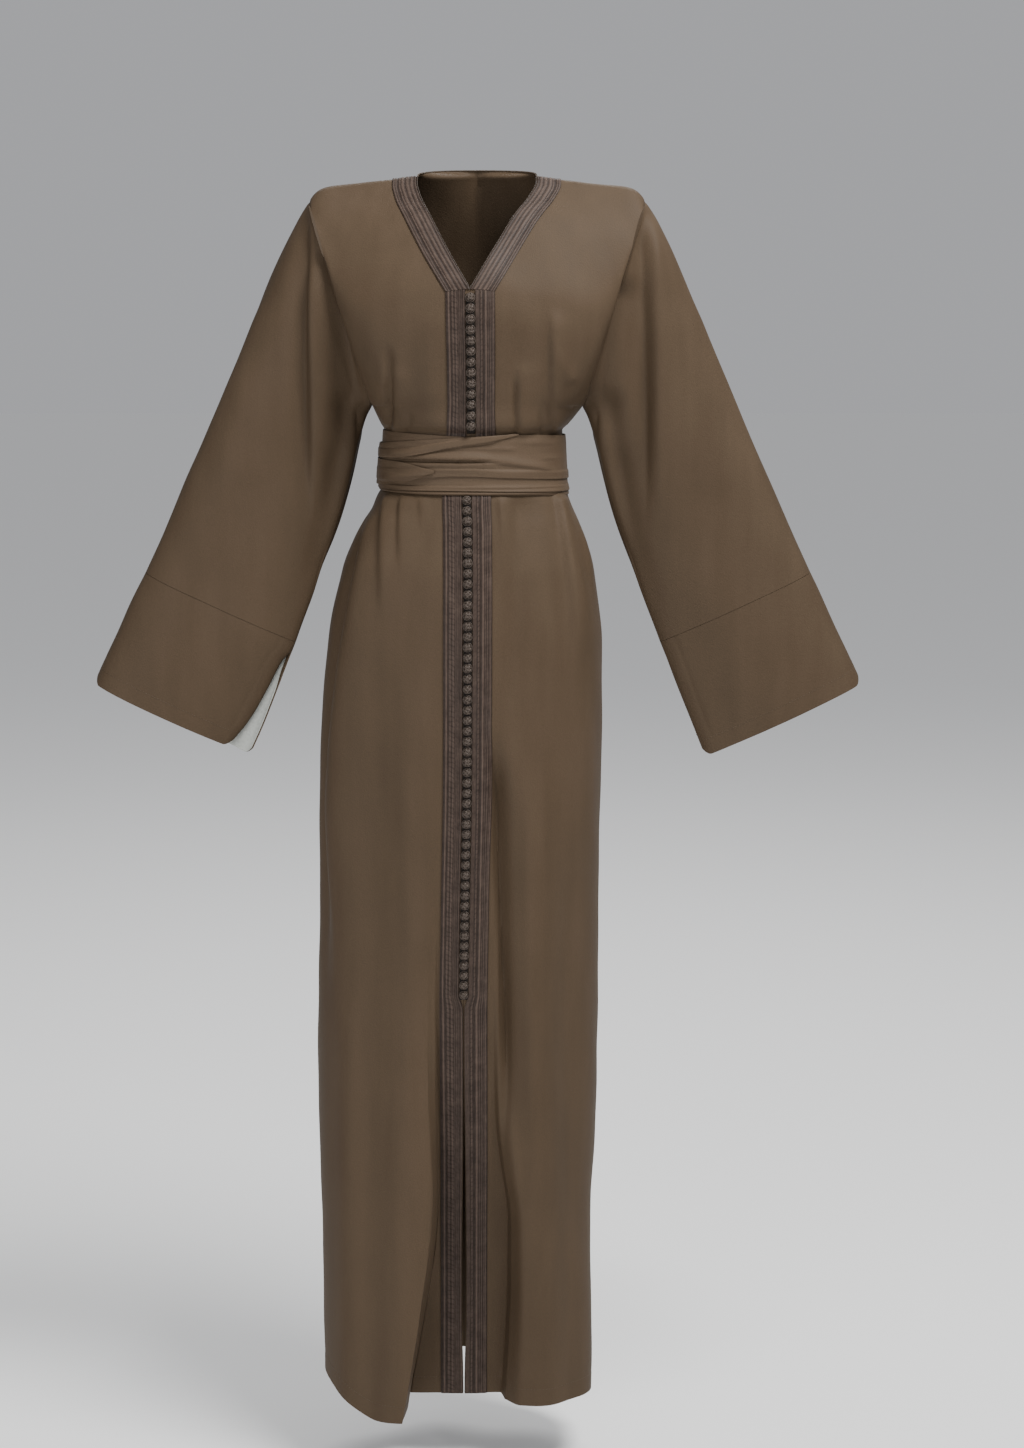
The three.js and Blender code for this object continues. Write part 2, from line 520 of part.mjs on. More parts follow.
// A narrow strip under a row of knots, over the seam where the fronts meet, and the knots on it.
function knotGeometry(front, fromDown, toDown) {
  const line = front.points.map((row, r) => ({ point: row[0], normal: front.normals[r][0] }))
    .filter(({ point }) => -point.z >= fromDown - 60 && -point.z <= toDown + 110);
  const onLine = (down) => {
    const i = clamp(line.findIndex(({ point }) => -point.z > down) - 1, 0, line.length - 2);
    const t = (-down - line[i].point.z) / (line[i + 1].point.z - line[i].point.z);
    const point = line[i].point.clone().lerp(line[i + 1].point, t);
    return { point, normal: line[i].normal.clone().lerp(line[i + 1].normal, t).setX(0).normalize() };
  };
  const knots = Math.floor((toDown - fromDown) / KNOT.pitch) + 1;
  const lift = CLOTH / 2 + GAP + KNOT.stripWall / 2;
  const ends = [fromDown - KNOT.radius, toDown + KNOT.radius];
  const rows = line.map(({ point }) => -point.z).filter((down) => down > ends[0] + 3 && down < ends[1] - 3);
  const strip = { points: [], normals: [] };
  for (const down of [ends[0], ...rows, ends[1]]) {
    const { point, normal } = onLine(down);
    strip.points.push([-0.5, 0.5].map((share) => point.clone().add(vec(share * KNOT.strip, 0, 0))));
    strip.normals.push([normal, normal]);
  }
  let solid = solidOf(wallGeometry(strip, KNOT.stripWall, 0, lift));
  for (const i of count(knots)) {
    const { point, normal } = onLine(fromDown + i * KNOT.pitch);
    const ball = new THREE.SphereGeometry(KNOT.radius, KNOT.sides, 3);
    ball.rotateX(Math.PI / 2).scale(1, KNOT.height / KNOT.radius, 1);
    const centre = point.clone().addScaledVector(normal, CLOTH / 2 + GAP + KNOT.stripWall + KNOT.height * 0.72);
    ball.translate(centre.x, centre.y, centre.z);
    solid = solid.add(solidOf(ball));
  }
  return geometryOf(solid);
}

function solidOf(geometry) {
  const plain = geometry.clone();
  plain.deleteAttribute('normal');
  plain.deleteAttribute('uv');
  const merged = mergeVertices(plain, 1e-4);
  return new wasm.Manifold(new wasm.Mesh({
    numProp: 3,
    vertProperties: merged.attributes.position.array,
    triVerts: new Uint32Array(merged.index.array),
  }));
}

function geometryOf(solid) {
  const mesh = solid.getMesh();
  const geometry = new THREE.BufferGeometry();
  geometry.setAttribute('position', new THREE.BufferAttribute(mesh.vertProperties, 3));
  geometry.setIndex(new THREE.BufferAttribute(mesh.triVerts, 1));
  geometry.computeVertexNormals();
  return geometry;
}

// ---------------------------------------------------------------- the kaftan

const finish = (color, roughness) => new THREE.MeshStandardMaterial({ color, roughness, metalness: 0 });
const crepe = finish(0x5b4d3c, 0.62);
const sashCrepe = finish(0x63543f, 0.6);
const braid = finish(0x5b4e46, 0.55);
const cord = finish(0x45362e, 0.6);
const lining = finish(0xb8b8ae, 0.7);

const kaftan = new THREE.Group();

function add(name, geometry, material) {
  const mesh = new THREE.Mesh(geometry, material);
  mesh.name = name;
  kaftan.add(mesh);
}

const cloth = {
  front_right: frontSheet(SIDES.right),
  front_left: frontSheet(SIDES.left),
  back: backSheet(),
  sleeve_right: sleeveSheet(SIDES.right),
  sleeve_left: sleeveSheet(SIDES.left),
  cuff_right: cuffSheet(SIDES.right),
  cuff_left: cuffSheet(SIDES.left),
};
const sheets = Object.values(cloth);
addNormals(sheets);
addFolds(sheets);
addNormals(sheets);
for (const [name, sheet] of Object.entries(cloth)) add(name, wallGeometry(sheet, CLOTH), crepe);

// Braid: round the neck from the shoulder seam to the point of the V, then down both front edges.
const braidLift = (CLOTH + BRAID) / 2 + GAP;
const braidEdge = BRAID_COLUMNS.length - 1;
for (const [name, side] of Object.entries(SIDES)) {
  const front = cloth[`front_${name}`];
  const span = (from, to) => (side < 0 ? [FRONT_COLUMNS - to, FRONT_COLUMNS - from] : [from, to]);
  const neckBand = patch(front, 0, V_ROW, ...span(0, braidEdge));
  const frontBand = patch(front, V_ROW, ROW_COUNT - 1, ...span(1, braidEdge));
  add(`braid_neck_${name}`, wallGeometry(neckBand, BRAID, PULL, braidLift), braid);
  add(`braid_front_${name}`, wallGeometry(frontBand, BRAID, PULL, braidLift), braid);
}

// Knotted buttons above and below the sash.
add('knots_upper', knotGeometry(cloth.front_left, 142, 288), cord);
add('knots_lower', knotGeometry(cloth.front_left, 375, 942), cord);

// The pale facing on the inside of the right cuff's open edge.
const facing = patch(cloth.cuff_right, 1, CUFF.length - 1, 0, 3);
add('cuff_facing_right', wallGeometry(facing, FACING, PULL, -(CLOTH + FACING) / 2 - GAP), lining);

// The sash, turn by turn.
for (const [name, turn] of Object.entries(SASH)) {
  const sheet = sashSheet(turn);
  addNormals([sheet]);
  add(name, wallGeometry(sheet, SASH_CLOTH, 0), sashCrepe);
}

export default kaftan;
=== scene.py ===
# %% [markdown]
# # A belted kaftan
# This lesson dresses a long brown gown: two fronts that meet edge to edge, a back, wide sleeves with
# deep cuffs, bands of braid with knotted buttons, and a sash wound round the waist. The frame gives
# the plain walls of every piece at its real size. Blender adds what cloth has besides its size:
# creases, hems, ribbed braid, wound cord, stitches and the finish of each surface. All lengths in the
# script are millimetres, as a tailor would give them, until a mesh is made.

# %% Load the frame
import math

import bpy
import numpy as np
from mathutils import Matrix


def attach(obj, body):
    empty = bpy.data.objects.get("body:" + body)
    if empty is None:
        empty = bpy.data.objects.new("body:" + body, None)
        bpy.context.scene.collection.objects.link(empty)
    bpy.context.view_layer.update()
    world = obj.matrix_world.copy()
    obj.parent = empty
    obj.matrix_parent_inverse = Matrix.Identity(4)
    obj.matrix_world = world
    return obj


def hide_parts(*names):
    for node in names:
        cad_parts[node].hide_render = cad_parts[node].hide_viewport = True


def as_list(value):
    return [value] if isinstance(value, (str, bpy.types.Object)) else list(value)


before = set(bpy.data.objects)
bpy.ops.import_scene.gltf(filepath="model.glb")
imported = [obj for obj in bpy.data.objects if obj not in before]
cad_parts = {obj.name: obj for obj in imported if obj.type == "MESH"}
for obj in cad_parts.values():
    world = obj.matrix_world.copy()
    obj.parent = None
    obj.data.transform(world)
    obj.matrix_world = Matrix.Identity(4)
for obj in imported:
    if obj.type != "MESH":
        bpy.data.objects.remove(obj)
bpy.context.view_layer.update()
MM = 0.001
BODY = "root"
print("frame holds", len(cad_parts), "pieces")

# %% [markdown]
# ## The camera
# The gown is looked at from the front, a little from above chest height. A lens of 70 mm on a
# 36 mm frame keeps the long skirt from tapering. The camera is made first, so that every later step
# can be looked at.

# %% Camera
LENS, SENSOR = 70.0, 36.0
CAMERA_PLACE = (0.0399, -3.2696, -0.1367)
CAMERA_TILT = 8.7  # degrees below level


def in_scene(name, data):
    made = bpy.data.objects.new(name, data)
    bpy.context.scene.collection.objects.link(made)
    return made


def add_camera():
    data = bpy.data.cameras.new("camera")
    data.lens = LENS
    data.sensor_width = SENSOR
    camera = in_scene("camera", data)
    camera.location = CAMERA_PLACE
    camera.rotation_euler = (math.radians(90 - CAMERA_TILT), 0, 0)
    bpy.context.scene.camera = camera


add_camera()
print("camera at", CAMERA_PLACE)

# %% [markdown]
# ## Curves through short tables
# A pattern cutter gives a shape by its measure at a few places. Each table here is such a list, and
# `through` draws a smooth curve along one column that never swings past its numbers, as a spline
# easily does. It could be done with Blender's curve objects, but a plain function is easier to reuse
# for every grid of cloth.

# %% Tables and curves
def table(names, *rows):
    """Rows of numbers under named columns."""
    return [dict(zip(names.split(), row)) for row in rows]


def mix(a, b, t):
    return a * (1 - t) + b * t


def smooth(value, low, high):
    t = np.clip((value - low) / (high - low), 0, 1)
    return t * t * (3 - 2 * t)


def through(rows, key, name):
    at = np.array([row[key] for row in rows], float)
    value = np.array([row[name] for row in rows], float)
    slope = np.diff(value) / np.diff(at)
    before, after = np.r_[slope[:1], slope], np.r_[slope, slope[-1:]]
    same_way = before * after > 0
    tangent = np.where(same_way, 2 * before * after / np.where(same_way, before + after, 1), 0)

    def curve(where):
        i = np.clip(np.searchsorted(at, where, side="right") - 1, 0, len(at) - 2)
        span = at[i + 1] - at[i]
        t = np.clip((where - at[i]) / span, 0, 1)
        bend = (1 - t) * (tangent[i] - slope[i]) + t * (slope[i] - tangent[i + 1])
        return mix(value[i], value[i + 1], t) + span * t * (1 - t) * bend
    return curve


def curves(rows, key):
    return {name: through(rows, key, name) for name in rows[0] if name != key}


def read_off(where, at, values):
    """Points or directions given at places along a line, read off at other places."""
    return np.stack([np.interp(where, at, values[:, k]) for k in range(3)], axis=-1)


def steps(*stretches):
    """Even steps along several stretches, each given as (from, to, number of steps)."""
    parts = [np.linspace(start, end, number + 1)[1:] for start, end, number in stretches]
    return np.concatenate([[stretches[0][0]], *parts])


# %% [markdown]
# ## The sizes of the dress
# These are the measures the gown is cut to: the shoulder, the armhole, the neck, the level sections
# of the skirt, the sleeve and the cuff. They follow the frame's walls, but are drawn more finely just
# below the sash and at the opening of the cuff, and the left lap lies up to 20 mm further to the left.
# `down` is the distance below the shoulders. Left and right are the wearer's, so right is towards -X.

# %% Sizes
CLOTH = 1.5  # wall of the dress cloth
SASH_CLOTH = 1.2
BRAID = 1.0
GAP = 0.3
EASE = 0.7  # room under the first turn of the sash
PULL = 0.2  # each edge draws back this far from a seam
RIGHT, LEFT = -1, 1
FRONT, BACK = -1, 1
WORD = {RIGHT: "right", LEFT: "left"}

SHOULDER_TIP = (191, -4, -34)
UNDERARM = (121, 0, -264)
ARMHOLE_DEPTH = {FRONT: 60, BACK: 56}
NECK_SIDE = (68.4, -10, -6)
BACK_NECK = (52, 4)  # y and z of the middle of the back neck
SHOULDER_FORWARD, SHOULDER_RISE, SHOULDER_RIDGE = 58, 12, 9
UNDERARM_DOWN = 264
YOKE_ROWS = 9
V_ROW = 5
FRONT_ROUND, BACK_ROUND = 2.35, 2.2
SLOPE_FALL, TIP_FALL = 14, 22  # the front shoulder falls along its slope, then over its tip
BRAID_PLACES = [0, 5.5, 16, 27.5]
SIDE_START, FRONT_COLUMNS, BACK_NECK_COLUMNS = 6, 12, 4

NECK = table(
    "row right left y z",
    (0, 68.4, 68.4, -10, -6), (1, 68.6, 68.0, -17, -14), (2, 64.5, 60.5, -31, -29),
    (3, 53.0, 43.0, -53, -51), (4, 33.0, 19.5, -79, -89), (5, 6.7, -6.7, -103, -133),
    (6, 6.3, -6.3, -109, -172), (7, 5.9, -5.9, -110, -210), (8, 5.9, -5.9, -108, -241),
    (9, 6.0, -6.0, -105, -264))
BACK_YOKE = table(
    "row y z shoulder",
    (0, 52, 4, 1), (1, 57, -8, 0.62), (2, 63, -30, 0.3), (3, 71, -63, 0.12), (4, 79, -103, 0),
    (5, 86, -145, 0), (6, 91, -183, 0), (7, 93, -216, 0), (8, 93, -244, 0), (9, 92, -264, 0))
SECTIONS = table(
    "down right left side edge right_front left_front floor back",
    (264, 121, 121, 0, -6.0, 105, 105, 105, 92), (285.5, 111, 104, 0, -6.1, 97, 97, 97, 84),
    (292.5, 107, 97.5, 0, -6.3, 90, 90, 90, 78), (330, 108, 98, 0, -9.0, 90, 90, 90, 78),
    (358, 109.5, 99.5, 0, -11.0, 91, 91, 91, 79), (364.5, 113.5, 103, 0, -11.0, 95, 95, 95, 82.5),
    (372, 117, 106, 0, -11.0, 97.5, 97.5, 97.5, 85), (382, 121, 110, 0, -10.8, 100, 100, 100, 87),
    (397, 130.5, 117, -1, -10.2, 104, 104, 104, 90), (425, 145, 128, -2, -10.0, 110, 110, 110, 97),
    (453, 157, 135, -3, -9.8, 115, 115, 115, 102), (538, 174, 144, -5, -10.1, 122, 122, 122, 109),
    (680, 184, 143.5, -7, -11.0, 124, 124, 124, 110), (824, 186.5, 142, -8, -13.8, 122, 122, 121, 108),
    (970, 189, 141, -10, -16.0, 124, 117, 110, 106), (1118, 189.5, 138.5, -12, -16.2, 130, 110, 87, 105),
    (1238, 187, 134, -14, -17.0, 137, 102, 63, 105), (1344, 186, 134.5, -17, -17.5, 143, 95, 48, 106),
    (1445, 185, 135, -20, -18.0, 148, 88, 40, 107))
PLEATS = table(
    "down right_foot right_crest left_foot left_crest",
    (0, 40, 62, 40, 62), (264, 38, 58, 38, 58), (450, 36, 54, 36, 56), (800, 31, 46, 33, 54),
    (970, 30, 42, 34, 58), (1083, 30, 40.5, 36, 56), (1152, 30, 39.6, 44, 62), (1221, 32, 41, 52, 70),
    (1313, 43, 52, 51, 71), (1445, 64, 73, 44, 68))
PLEAT_SHARE = table(
    "column share", (0, 1), (3, 1), (4, 0.98), (5, 0.52), (6, 0.07), (7, 0), (FRONT_COLUMNS, 0))
SLEEVE = table(
    "along top_x top_z low_x low_z top_depth low_depth",
    (0.0, 191, -34, 121, -264, 60, 60), (0.06, 204, -54, 128, -277, 57, 50),
    (0.15, 224, -94, 137, -305, 52, 37), (0.3, 252, -159, 149, -350, 46, 27),
    (0.5, 289, -244, 166, -407, 42, 21), (0.75, 336, -350, 189, -474, 39, 18),
    (1.0, 385, -457, 213, -538, 37, 17))
CUFF = table(
    "along top_x top_z low_x low_z short",
    (0.0, 385, -457, 213, -538, 0.0), (0.07, 389.5, -466, 217, -547.5, 0.0),
    (0.14, 394, -475, 221, -557, 0.021), (0.2, 397.7, -482.7, 224.3, -565.5, 0.037),
    (0.45, 413, -515, 238, -601, 0.058), (0.75, 432, -554, 254, -641, 0.088),
    (1.0, 447, -586, 267, -673, 0.14))
CUFF_DEPTH = {"top": 36, "low": 17}
SLEEVE_MIDDLE, CUFF_MIDDLE = -4, -9

neck = curves(NECK, "row")
for name in ("right", "left"):  # the point of the V is a corner, so its two stretches are drawn apart
    above, below = through(NECK[:V_ROW + 1], "row", name), through(NECK[V_ROW:], "row", name)
    neck[name] = lambda row, a=above, b=below: np.where(row < V_ROW, a(row), b(row))
back_yoke = curves(BACK_YOKE, "row")
section = curves(SECTIONS, "down")
pleat = curves(PLEATS, "down")
pleat_share = through(PLEAT_SHARE, "column", "share")
sleeve = curves(SLEEVE, "along")
cuff = curves(CUFF, "along")
print("curves through", len(NECK) + len(SECTIONS) + len(SLEEVE) + len(CUFF), "rows of sizes")

# %% [markdown]
# ## Points of the dress
# Every panel is a grid of points: rows run down the gown and columns run round it. A quarter of a
# body section is a rounded corner between its middle and its side; the armhole is one curve that
# body and sleeve share, so that their edges meet. Finer grids of the same functions give smooth
# cloth; a coarse grid with a Subdivision modifier would round the seams away from each other.

# %% Points of the body
def stack(x, y, z):
    return np.stack(np.broadcast_arrays(x, y, z), axis=-1).astype(float)


def armhole(side, face, turn):
    """turn runs from 0 at the shoulder tip to 1 at the underarm."""
    along = (1 - np.cos(np.pi * turn)) / 2
    depth = ARMHOLE_DEPTH[face] * np.clip(np.sin(np.pi * turn), 0, 1) ** 0.9
    x, y, z = (mix(a, b, along) for a, b in zip(SHOULDER_TIP, UNDERARM))
    return stack(side * x, y + face * depth, z)


def quarter(inner, outer, share, roundness):
    """A quarter section between a middle point and a side point."""
    bulge = np.clip(1 - np.minimum(share, 1) ** roundness, 0, 1) ** (1 / roundness)
    return stack(
        mix(inner[..., 0], outer[..., 0], share),
        mix(outer[..., 1], inner[..., 1], bulge),
        mix(inner[..., 2], outer[..., 2], share))


def front_share(side, down, column, width):
    """How far across the front, from its edge (0) to its side (1), a column lies."""
    foot, crest = pleat[WORD[side] + "_foot"](down), pleat[WORD[side] + "_crest"](down)
    places = [*BRAID_PLACES, foot, mix(foot, crest, 0.25), crest]
    if column <= SIDE_START:
        i = min(int(column), SIDE_START - 1)
        return mix(places[i], places[i + 1], column - i) / width
    start = np.arcsin((crest / width) ** (FRONT_ROUND / 2))
    angle = mix(start, np.pi / 2, (column - SIDE_START) / (FRONT_COLUMNS - SIDE_START))
    return np.sin(angle) ** (2 / FRONT_ROUND)


def shares(side, down, columns, width):
    return np.stack([front_share(side, down, column, width) for column in columns], axis=1)


def front_yoke(side, rows, columns):
    outer = armhole(side, FRONT, rows / YOKE_ROWS)[:, None]
    inner = stack(side * neck[WORD[side]](rows), neck["y"](rows), neck["z"](rows))[:, None]
    width = np.abs(outer - inner)[:, 0, 0]
    share = shares(side, UNDERARM_DOWN * rows / YOKE_ROWS, columns, width)
    points = quarter(inner, outer, share, FRONT_ROUND)
    shoulder_fall = (SLOPE_FALL * share ** 0.8 + TIP_FALL * share ** 14) / (SLOPE_FALL + TIP_FALL)
    row = rows[:, None]
    fall = mix(share ** 1.6, shoulder_fall, 1 - smooth(row, 0, 4))
    points[..., 2] = mix(inner[..., 2], outer[..., 2], fall)
    straight = mix(inner[..., 1], outer[..., 1], share)
    points[..., 1] = mix(straight, points[..., 1], smooth(row, 0, 1))
    return points


# The slit between the front edges: half its width, then the heights where it opens and closes again.
SLIT = {"half": 2.2, "opens": (980, 1300), "closes": (1340, 1435), "closed": 0.8}


def front_skirt(side, downs, columns):
    outer = stack(side * section[WORD[side]](downs), section["side"](downs), -downs)[:, None]
    depth, floor = section[WORD[side] + "_front"](downs)[:, None], section["floor"](downs)[:, None]
    inner = stack(section["edge"](downs), -depth[:, 0], -downs)[:, None]
    width = np.abs(outer - inner)[:, 0, 0]
    share = shares(side, downs, columns, width)
    points = quarter(inner, outer, share, FRONT_ROUND)
    points[..., 1] -= pleat_share(columns)[None] * (floor - depth)
    parted = SLIT["half"] * smooth(downs, *SLIT["opens"])
    parted = parted * (1 - SLIT["closed"] * smooth(downs, *SLIT["closes"]))
    points[..., 0] += side * parted[:, None] * (1 - smooth(columns, 0, 2))[None]
    return points


def back_neck(side, share):
    angle = share * np.pi / 2
    cosine = np.clip(np.cos(angle), 0, 1)
    return stack(
        side * NECK_SIDE[0] * np.sin(angle) ** 0.85,
        mix(NECK_SIDE[1], BACK_NECK[0], cosine ** 0.9),
        mix(NECK_SIDE[2], BACK_NECK[1], cosine ** 0.5))


def back_top(side, columns):
    """The back neck and then the shoulder seam, point for point as on the front."""
    neck_part = back_neck(side, columns[columns < BACK_NECK_COLUMNS] / BACK_NECK_COLUMNS)
    seam = front_yoke(side, np.array([0.0]), columns[columns >= BACK_NECK_COLUMNS] - BACK_NECK_COLUMNS)
    return np.concatenate([neck_part, seam[0]])


def back_shares(top, columns):
    even = NECK_SIDE[0] / SHOULDER_TIP[0] * columns / BACK_NECK_COLUMNS
    return np.where(columns < BACK_NECK_COLUMNS, even, np.abs(top[:, 0]) / SHOULDER_TIP[0])


def back_yoke_points(side, rows, columns):
    top = back_top(side, columns)
    share = back_shares(top, columns)[None]
    arch = np.clip(np.sin(np.pi * share), 0, 1)
    first = quarter(
        stack(0, *BACK_NECK), armhole(side, BACK, np.zeros(1))[:, None], share, BACK_ROUND)
    ridge = SHOULDER_RIDGE * (1 - share) * smooth(share, 0.1, 0.4)
    shape = stack(
        top[None, :, 0] - first[..., 0], -SHOULDER_FORWARD * arch ** 0.8,
        SHOULDER_RISE * arch ** 0.6 + ridge)
    inner = stack(0, back_yoke["y"](rows), back_yoke["z"](rows))[:, None]
    outer = armhole(side, BACK, rows / YOKE_ROWS)[:, None]
    points = quarter(inner, outer, share, BACK_ROUND) + shape * back_yoke["shoulder"](rows)[:, None, None]
    to_seam = (top - (first + shape)[0])[None]
    return points + to_seam * (1 - smooth(rows, 0, 0.9))[:, None, None]


def back_skirt(side, downs, columns):
    share = back_shares(back_top(side, columns), columns)[None]
    middle = (section["left"](downs) - section["right"](downs)) / 2
    inner = stack(middle, section["back"](downs), -downs)[:, None]
    outer = stack(side * section[WORD[side]](downs), section["side"](downs), -downs)[:, None]
    return quarter(inner, outer, share, BACK_ROUND)

# %% [markdown]
# ## Sleeves and cuffs
# A sleeve is a flattened tube with a straight upper and a straight lower edge, and a cuff goes on
# where it ends. Each starts in the curve of the piece before it and takes its own shape a little
# further down, so that the seams fit without being sewn together as one grid.

# %% Points of the sleeves
def tube(side, face, turn, edges, depths, middle, short):
    along = (1 - np.cos(np.pi * turn)) / 2 * (1 - short)
    round_part = np.clip(np.sin(np.pi * turn), 0, 1) ** 0.9
    depth = round_part * mix(depths["top"], depths["low"], along)
    return stack(
        side * mix(edges["top_x"], edges["low_x"], along),
        middle + face * (depth + short * depths["low"] * smooth(turn, 0.6, 1)),
        mix(edges["top_z"], edges["low_z"], along))


def edges_at(shape, along):
    return {name: shape[name](along) for name in ("top_x", "top_z", "low_x", "low_z")}


SLEEVE_BLEND = 0.09
ARMHOLE_DEPTHS = {"top": ARMHOLE_DEPTH[FRONT], "low": ARMHOLE_DEPTH[FRONT]}


def sleeve_points(side, face, along, turn):
    """A sleeve starts in the armhole's own curve and takes its tube shape within a hand's width."""
    depths = {"top": sleeve["top_depth"](along), "low": sleeve["low_depth"](along)}
    points = tube(
        side, face, turn, edges_at(sleeve, along), depths, mix(SLEEVE_MIDDLE, CUFF_MIDDLE, along), 0)
    start = tube(side, face, turn, edges_at(sleeve, 0 * along), ARMHOLE_DEPTHS, SLEEVE_MIDDLE, 0)
    to_armhole = armhole(side, face, turn) - start
    return points + to_armhole * (1 - smooth(along, 0, SLEEVE_BLEND))[..., None]


CORNER_RISE, CORNER_ROUND = 0.07, 0.13  # how far the cuff's corners are rounded off
CUFF_BLEND = 0.2  # the part of its length in which a cuff takes over from the sleeve


def cuff_points(side, face, along, turn):
    """A cuff; the front layer of the right one stops short of the low edge, so that it stands open."""
    along = along * (1 - CORNER_RISE * (1 - smooth(np.minimum(turn, 1 - turn), 0, CORNER_ROUND)))
    short = cuff["short"](along) if (side, face) == (RIGHT, FRONT) else 0 * along
    points = tube(side, face, turn, edges_at(cuff, along), CUFF_DEPTH, CUFF_MIDDLE, short)
    start = tube(side, face, turn, edges_at(cuff, 0 * along), CUFF_DEPTH, CUFF_MIDDLE, 0)
    to_sleeve = sleeve_points(side, face, along * 0 + 1, turn) - start
    return points + to_sleeve * (1 - smooth(along, 0, CUFF_BLEND))[..., None]


# %% [markdown]
# ## Grids of cloth
# A sheet holds its grid, the outward direction at each point and the distance to its seams. The
# directions are averaged over all sheets that share a point, so that a crease crosses a seam without
# a step and the walls meet edge to edge.

# %% Sheets
class Sheet:
    """A grid of points in millimetres, with rows down the gown and columns towards the left."""

    def __init__(self, points, closed=False):
        self.points = points
        self.closed = closed
        self.normals = np.zeros_like(points)

    def next(self, values):
        """The neighbour one column on, for every cell of the grid."""
        return np.roll(values, -1, axis=1) if self.closed else values[:, 1:]

    def this(self, values):
        return values if self.closed else values[:, :-1]

    def cell_normals(self):
        top, low = self.points[:-1], self.points[1:]
        down = self.this(low) + self.next(low) - self.this(top) - self.next(top)
        across = self.next(top) + self.next(low) - self.this(top) - self.this(low)
        return np.cross(down, across)

    def spread(self, cells):
        """Adds each cell's value to its four corners."""
        total = np.zeros_like(self.points)
        for rows in (slice(None, -1), slice(1, None)):
            for before in (0, 1):
                total[rows] += np.roll(cells, before, axis=1) if self.closed else np.pad(
                    cells, ((0, 0), (before, 1 - before), (0, 0)))
        return total

    def area(self):
        return np.linalg.norm(self.cell_normals(), axis=-1).sum() / 4 * MM * MM


def add_normals(*sheets):
    sums = np.concatenate([sheet.spread(sheet.cell_normals()).reshape(-1, 3) for sheet in sheets])
    places = np.concatenate([np.round(sheet.points.reshape(-1, 3) * 50) for sheet in sheets])
    same = np.unique(places.astype(int), axis=0, return_inverse=True)[1].ravel()
    total = np.zeros((same.max() + 1, 3))
    np.add.at(total, same, sums)
    shared = total[same]
    shared /= np.maximum(np.linalg.norm(shared, axis=1, keepdims=True), 1e-9)
    start = 0
    for sheet in sheets:
        count = sheet.points.shape[0] * sheet.points.shape[1]
        sheet.normals = shared[start:start + count].reshape(sheet.points.shape)
        start += count


# %% Grids of every panel
YOKE_STEPS = 9  # rows of cloth between two rows of the yoke's table
yoke_rows = np.linspace(0, YOKE_ROWS, YOKE_ROWS * YOKE_STEPS + 1)
skirt_downs = steps(
    (264, 284, 5), (284, 296, 6), (296, 358, 8), (358, 374, 8), (374, 400, 6), (400, 1445, 150))[1:]
front_columns = steps((0, 3, 8), (3, 4, 4), (4, 7, 24), (7, 12, 36))
# The back's columns beyond the neck are the front's own, so that the shoulder seams match.
back_columns = np.concatenate([steps((0, 4, 16))[:-1], front_columns + BACK_NECK_COLUMNS])
turns = yoke_rows / YOKE_ROWS
sleeve_rows = steps((0, 0.15, 18), (0.15, 1, 70))
cuff_rows = steps((0, 1, 22))


def front_sheet(side):
    points = np.concatenate([
        front_yoke(side, yoke_rows, front_columns), front_skirt(side, skirt_downs, front_columns)])
    return Sheet(points[:, ::-1] if side == RIGHT else points)


def back_sheet():
    def half(side):
        return np.concatenate([
            back_yoke_points(side, yoke_rows, back_columns), back_skirt(side, skirt_downs, back_columns)])
    left, right = half(LEFT), half(RIGHT)
    return Sheet(np.concatenate([left[:, ::-1], right[:, 1:]], axis=1))


def tube_turns(side):
    """Faces and turns in the order in which they pass the front from the wearer's right."""
    front, back = [(FRONT, turn) for turn in turns], [(BACK, turn) for turn in turns]
    return front + back[-2:0:-1] if side == RIGHT else front[:0:-1] + back[:-1]


def cuff_turns(side):
    columns = [(FRONT, turn) for turn in turns[::-1]] + [(BACK, turn) for turn in turns[1:]]
    return columns[::-1] if side == RIGHT else columns


def tube_sheet(side, rows, columns, point, closed):
    points = [point(side, face, rows, np.full_like(rows, turn)) for face, turn in columns]
    return Sheet(np.stack(points, axis=1), closed)


def sleeve_sheet(side):
    return tube_sheet(side, sleeve_rows, tube_turns(side), sleeve_points, True)


def cuff_sheet(side):
    return tube_sheet(side, cuff_rows, cuff_turns(side), cuff_points, False)


HEM_RISE = 34  # the hem rises this much towards the right side seam
HEM_RISE_ACROSS, HEM_RISE_DOWN = (118, 188), (1230, 1445)
cloth = {
    "front_right": front_sheet(RIGHT), "front_left": front_sheet(LEFT), "back": back_sheet(),
    "sleeve_right": sleeve_sheet(RIGHT), "sleeve_left": sleeve_sheet(LEFT),
    "cuff_right": cuff_sheet(RIGHT), "cuff_left": cuff_sheet(LEFT),
}
for name in ("front_right", "back"):
    across, height = cloth[name].points[..., 0], cloth[name].points[..., 2]
    height += HEM_RISE * smooth(-across, *HEM_RISE_ACROSS) * smooth(-height, *HEM_RISE_DOWN)
add_normals(*cloth.values())
print("cloth of", {name: round(sheet.area(), 3) for name, sheet in cloth.items()}, "square metres")
